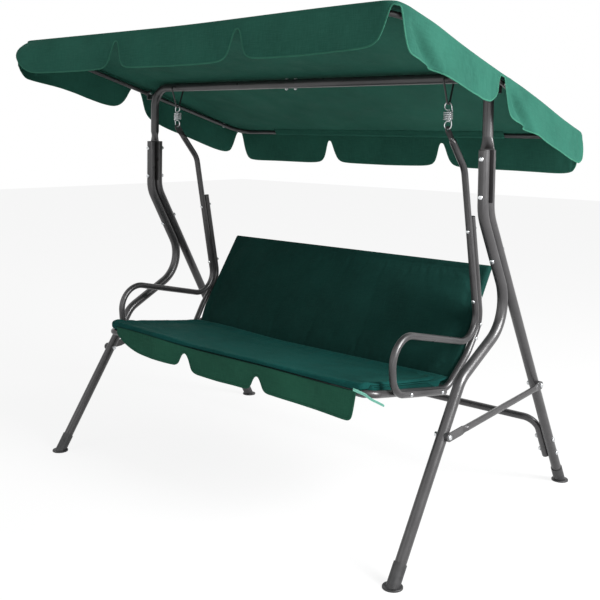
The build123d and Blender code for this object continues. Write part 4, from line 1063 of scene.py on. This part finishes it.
def seat_skirt():
    """The cloth that hangs from the front seam in three scallops, with its hem."""
    edge = smooth_curve(SKIRT_EDGE, 420)
    rows = 26
    verts, cloth = [], []
    for x, low in edge:
        for z in np.linspace(float(skirt_top(x)), low, rows + 1):
            verts.append([x, SKIRT_Y, z])
            cloth.append((x / MM, z / MM, 0))
    v = np.array(verts)
    below = skirt_top(v[:, 0]) - v[:, 2]
    hang = np.clip(below / SKIRT_DEEP, 0, 1)
    place = v / MM
    slow = waves(place * [1, 0, 0.3], 5.5, 51) * SKIRT_SLOW_FOLD
    small = waves(place * [1, 0, 0.5], 15.0, 52) * SKIRT_SMALL_FOLD
    fold = slow * hang + small * hang**1.3
    below_rail = smooth(460, 440, v[:, 2])
    # folds towards the rail are held back by it
    v[:, 1] += np.where(fold > 0, fold * (0.15 + 0.5 * below_rail), fold) - 2.0 * hang
    gather = np.exp(-below / GATHER_HEIGHT) * smooth(0, 5, below)
    pucker = np.sin(v[:, 0] / 3.4 + 4 * waves(place * [1, 0, 0], 12.0, 53))
    more_right = 0.5 + 0.5 * smooth(-200, 300, v[:, 0])
    v[:, 1] -= GATHER_DEPTH * gather * (0.55 + 0.45 * pucker) * more_right
    count = rows + 1
    placed = np.array([at(*p) for p in v])
    skirt = make("seat_skirt", placed, loop_faces(len(edge), count, False), cloth)
    skirt.data.materials.append(SKIRT_CLOTH)
    thicken(skirt, SHEET)
    grid = placed.reshape(len(edge), count, 3)
    low_edge, inner = grid[:, -1], grid[:, -4]
    hem = build_binding(
        "seat_skirt_hem", low_edge, inner, False, SKIRT_CLOTH, height=0.0075, thick=0.0026
    )
    extras = [hem, *ties()]
    for piece in [skirt] + extras:
        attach(piece, "seat")
    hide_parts("seat_valance")
    for tie in extras[1:]:
        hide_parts("seat_ties")


TIE_WIDTH, TIE_FLAT = 10.0, 0.16  # millimetres, and thickness as a share of it


def strap(name, path):
    """A sewn strap: a flat tube with rounded edges that narrows to its end."""
    curve = smooth_curve(path, 60)
    share = np.linspace(0, 1, len(curve))
    radius = TIE_WIDTH / (2 * MM) * (1 - 0.25 * share) * np.sqrt(np.clip((1.004 - share) / 0.03, 0, 1))
    piece = swept(name, np.array([at(*p) for p in curve]), radius, 14, TIE_FLAT)
    # pale strap colour: painted sunlight on the green cloth
    piece.data.materials.append(TIE_CLOTH_PAINTED_SUNLIGHT)
    return piece


def ties():
    """The right tie hangs loose outwards from the corner, the left one is tucked behind the skirt."""
    right = [
        (548, -360.5, 474.5), (566, -361.5, 472.5), (590, -360.0, 467.5), (612, -361.5, 460.0),
        (636, -360.5, 454.5), (659, -361.0, 449.8),
    ]  # fmt: skip
    left = [
        (-490, -352.5, 445), (-468, -351.0, 446), (-440, -352.5, 443.5), (-418, -351.5, 444),
        (-400, -352, 442),
    ]  # fmt: skip
    return [strap("seat_tie_right", right), strap("seat_tie_left", left)]


def seam():
    """The welt between the roll of the seat and the skirt, coloured dark as painted shadow of the groove there."""
    xs = np.linspace(-556, 562, 260)
    sunk = smooth(530, 562, np.abs(xs))
    path = [at(x, SKIRT_Y - 1.4 + 5.0 * s, skirt_top(x) + 0.3 - s) for x, s in zip(xs, sunk)]
    # a thin dark bar laid in the groove: painted shadow
    piece = swept("seat_seam_shadow", path, 0.0010, 8)
    piece.data.materials.append(SEAM_SHADOW)
    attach(piece, "seat")


studio()
camera()
canopy()
springs()
seat_pad()
back_pad()
seat_skirt()
seam()
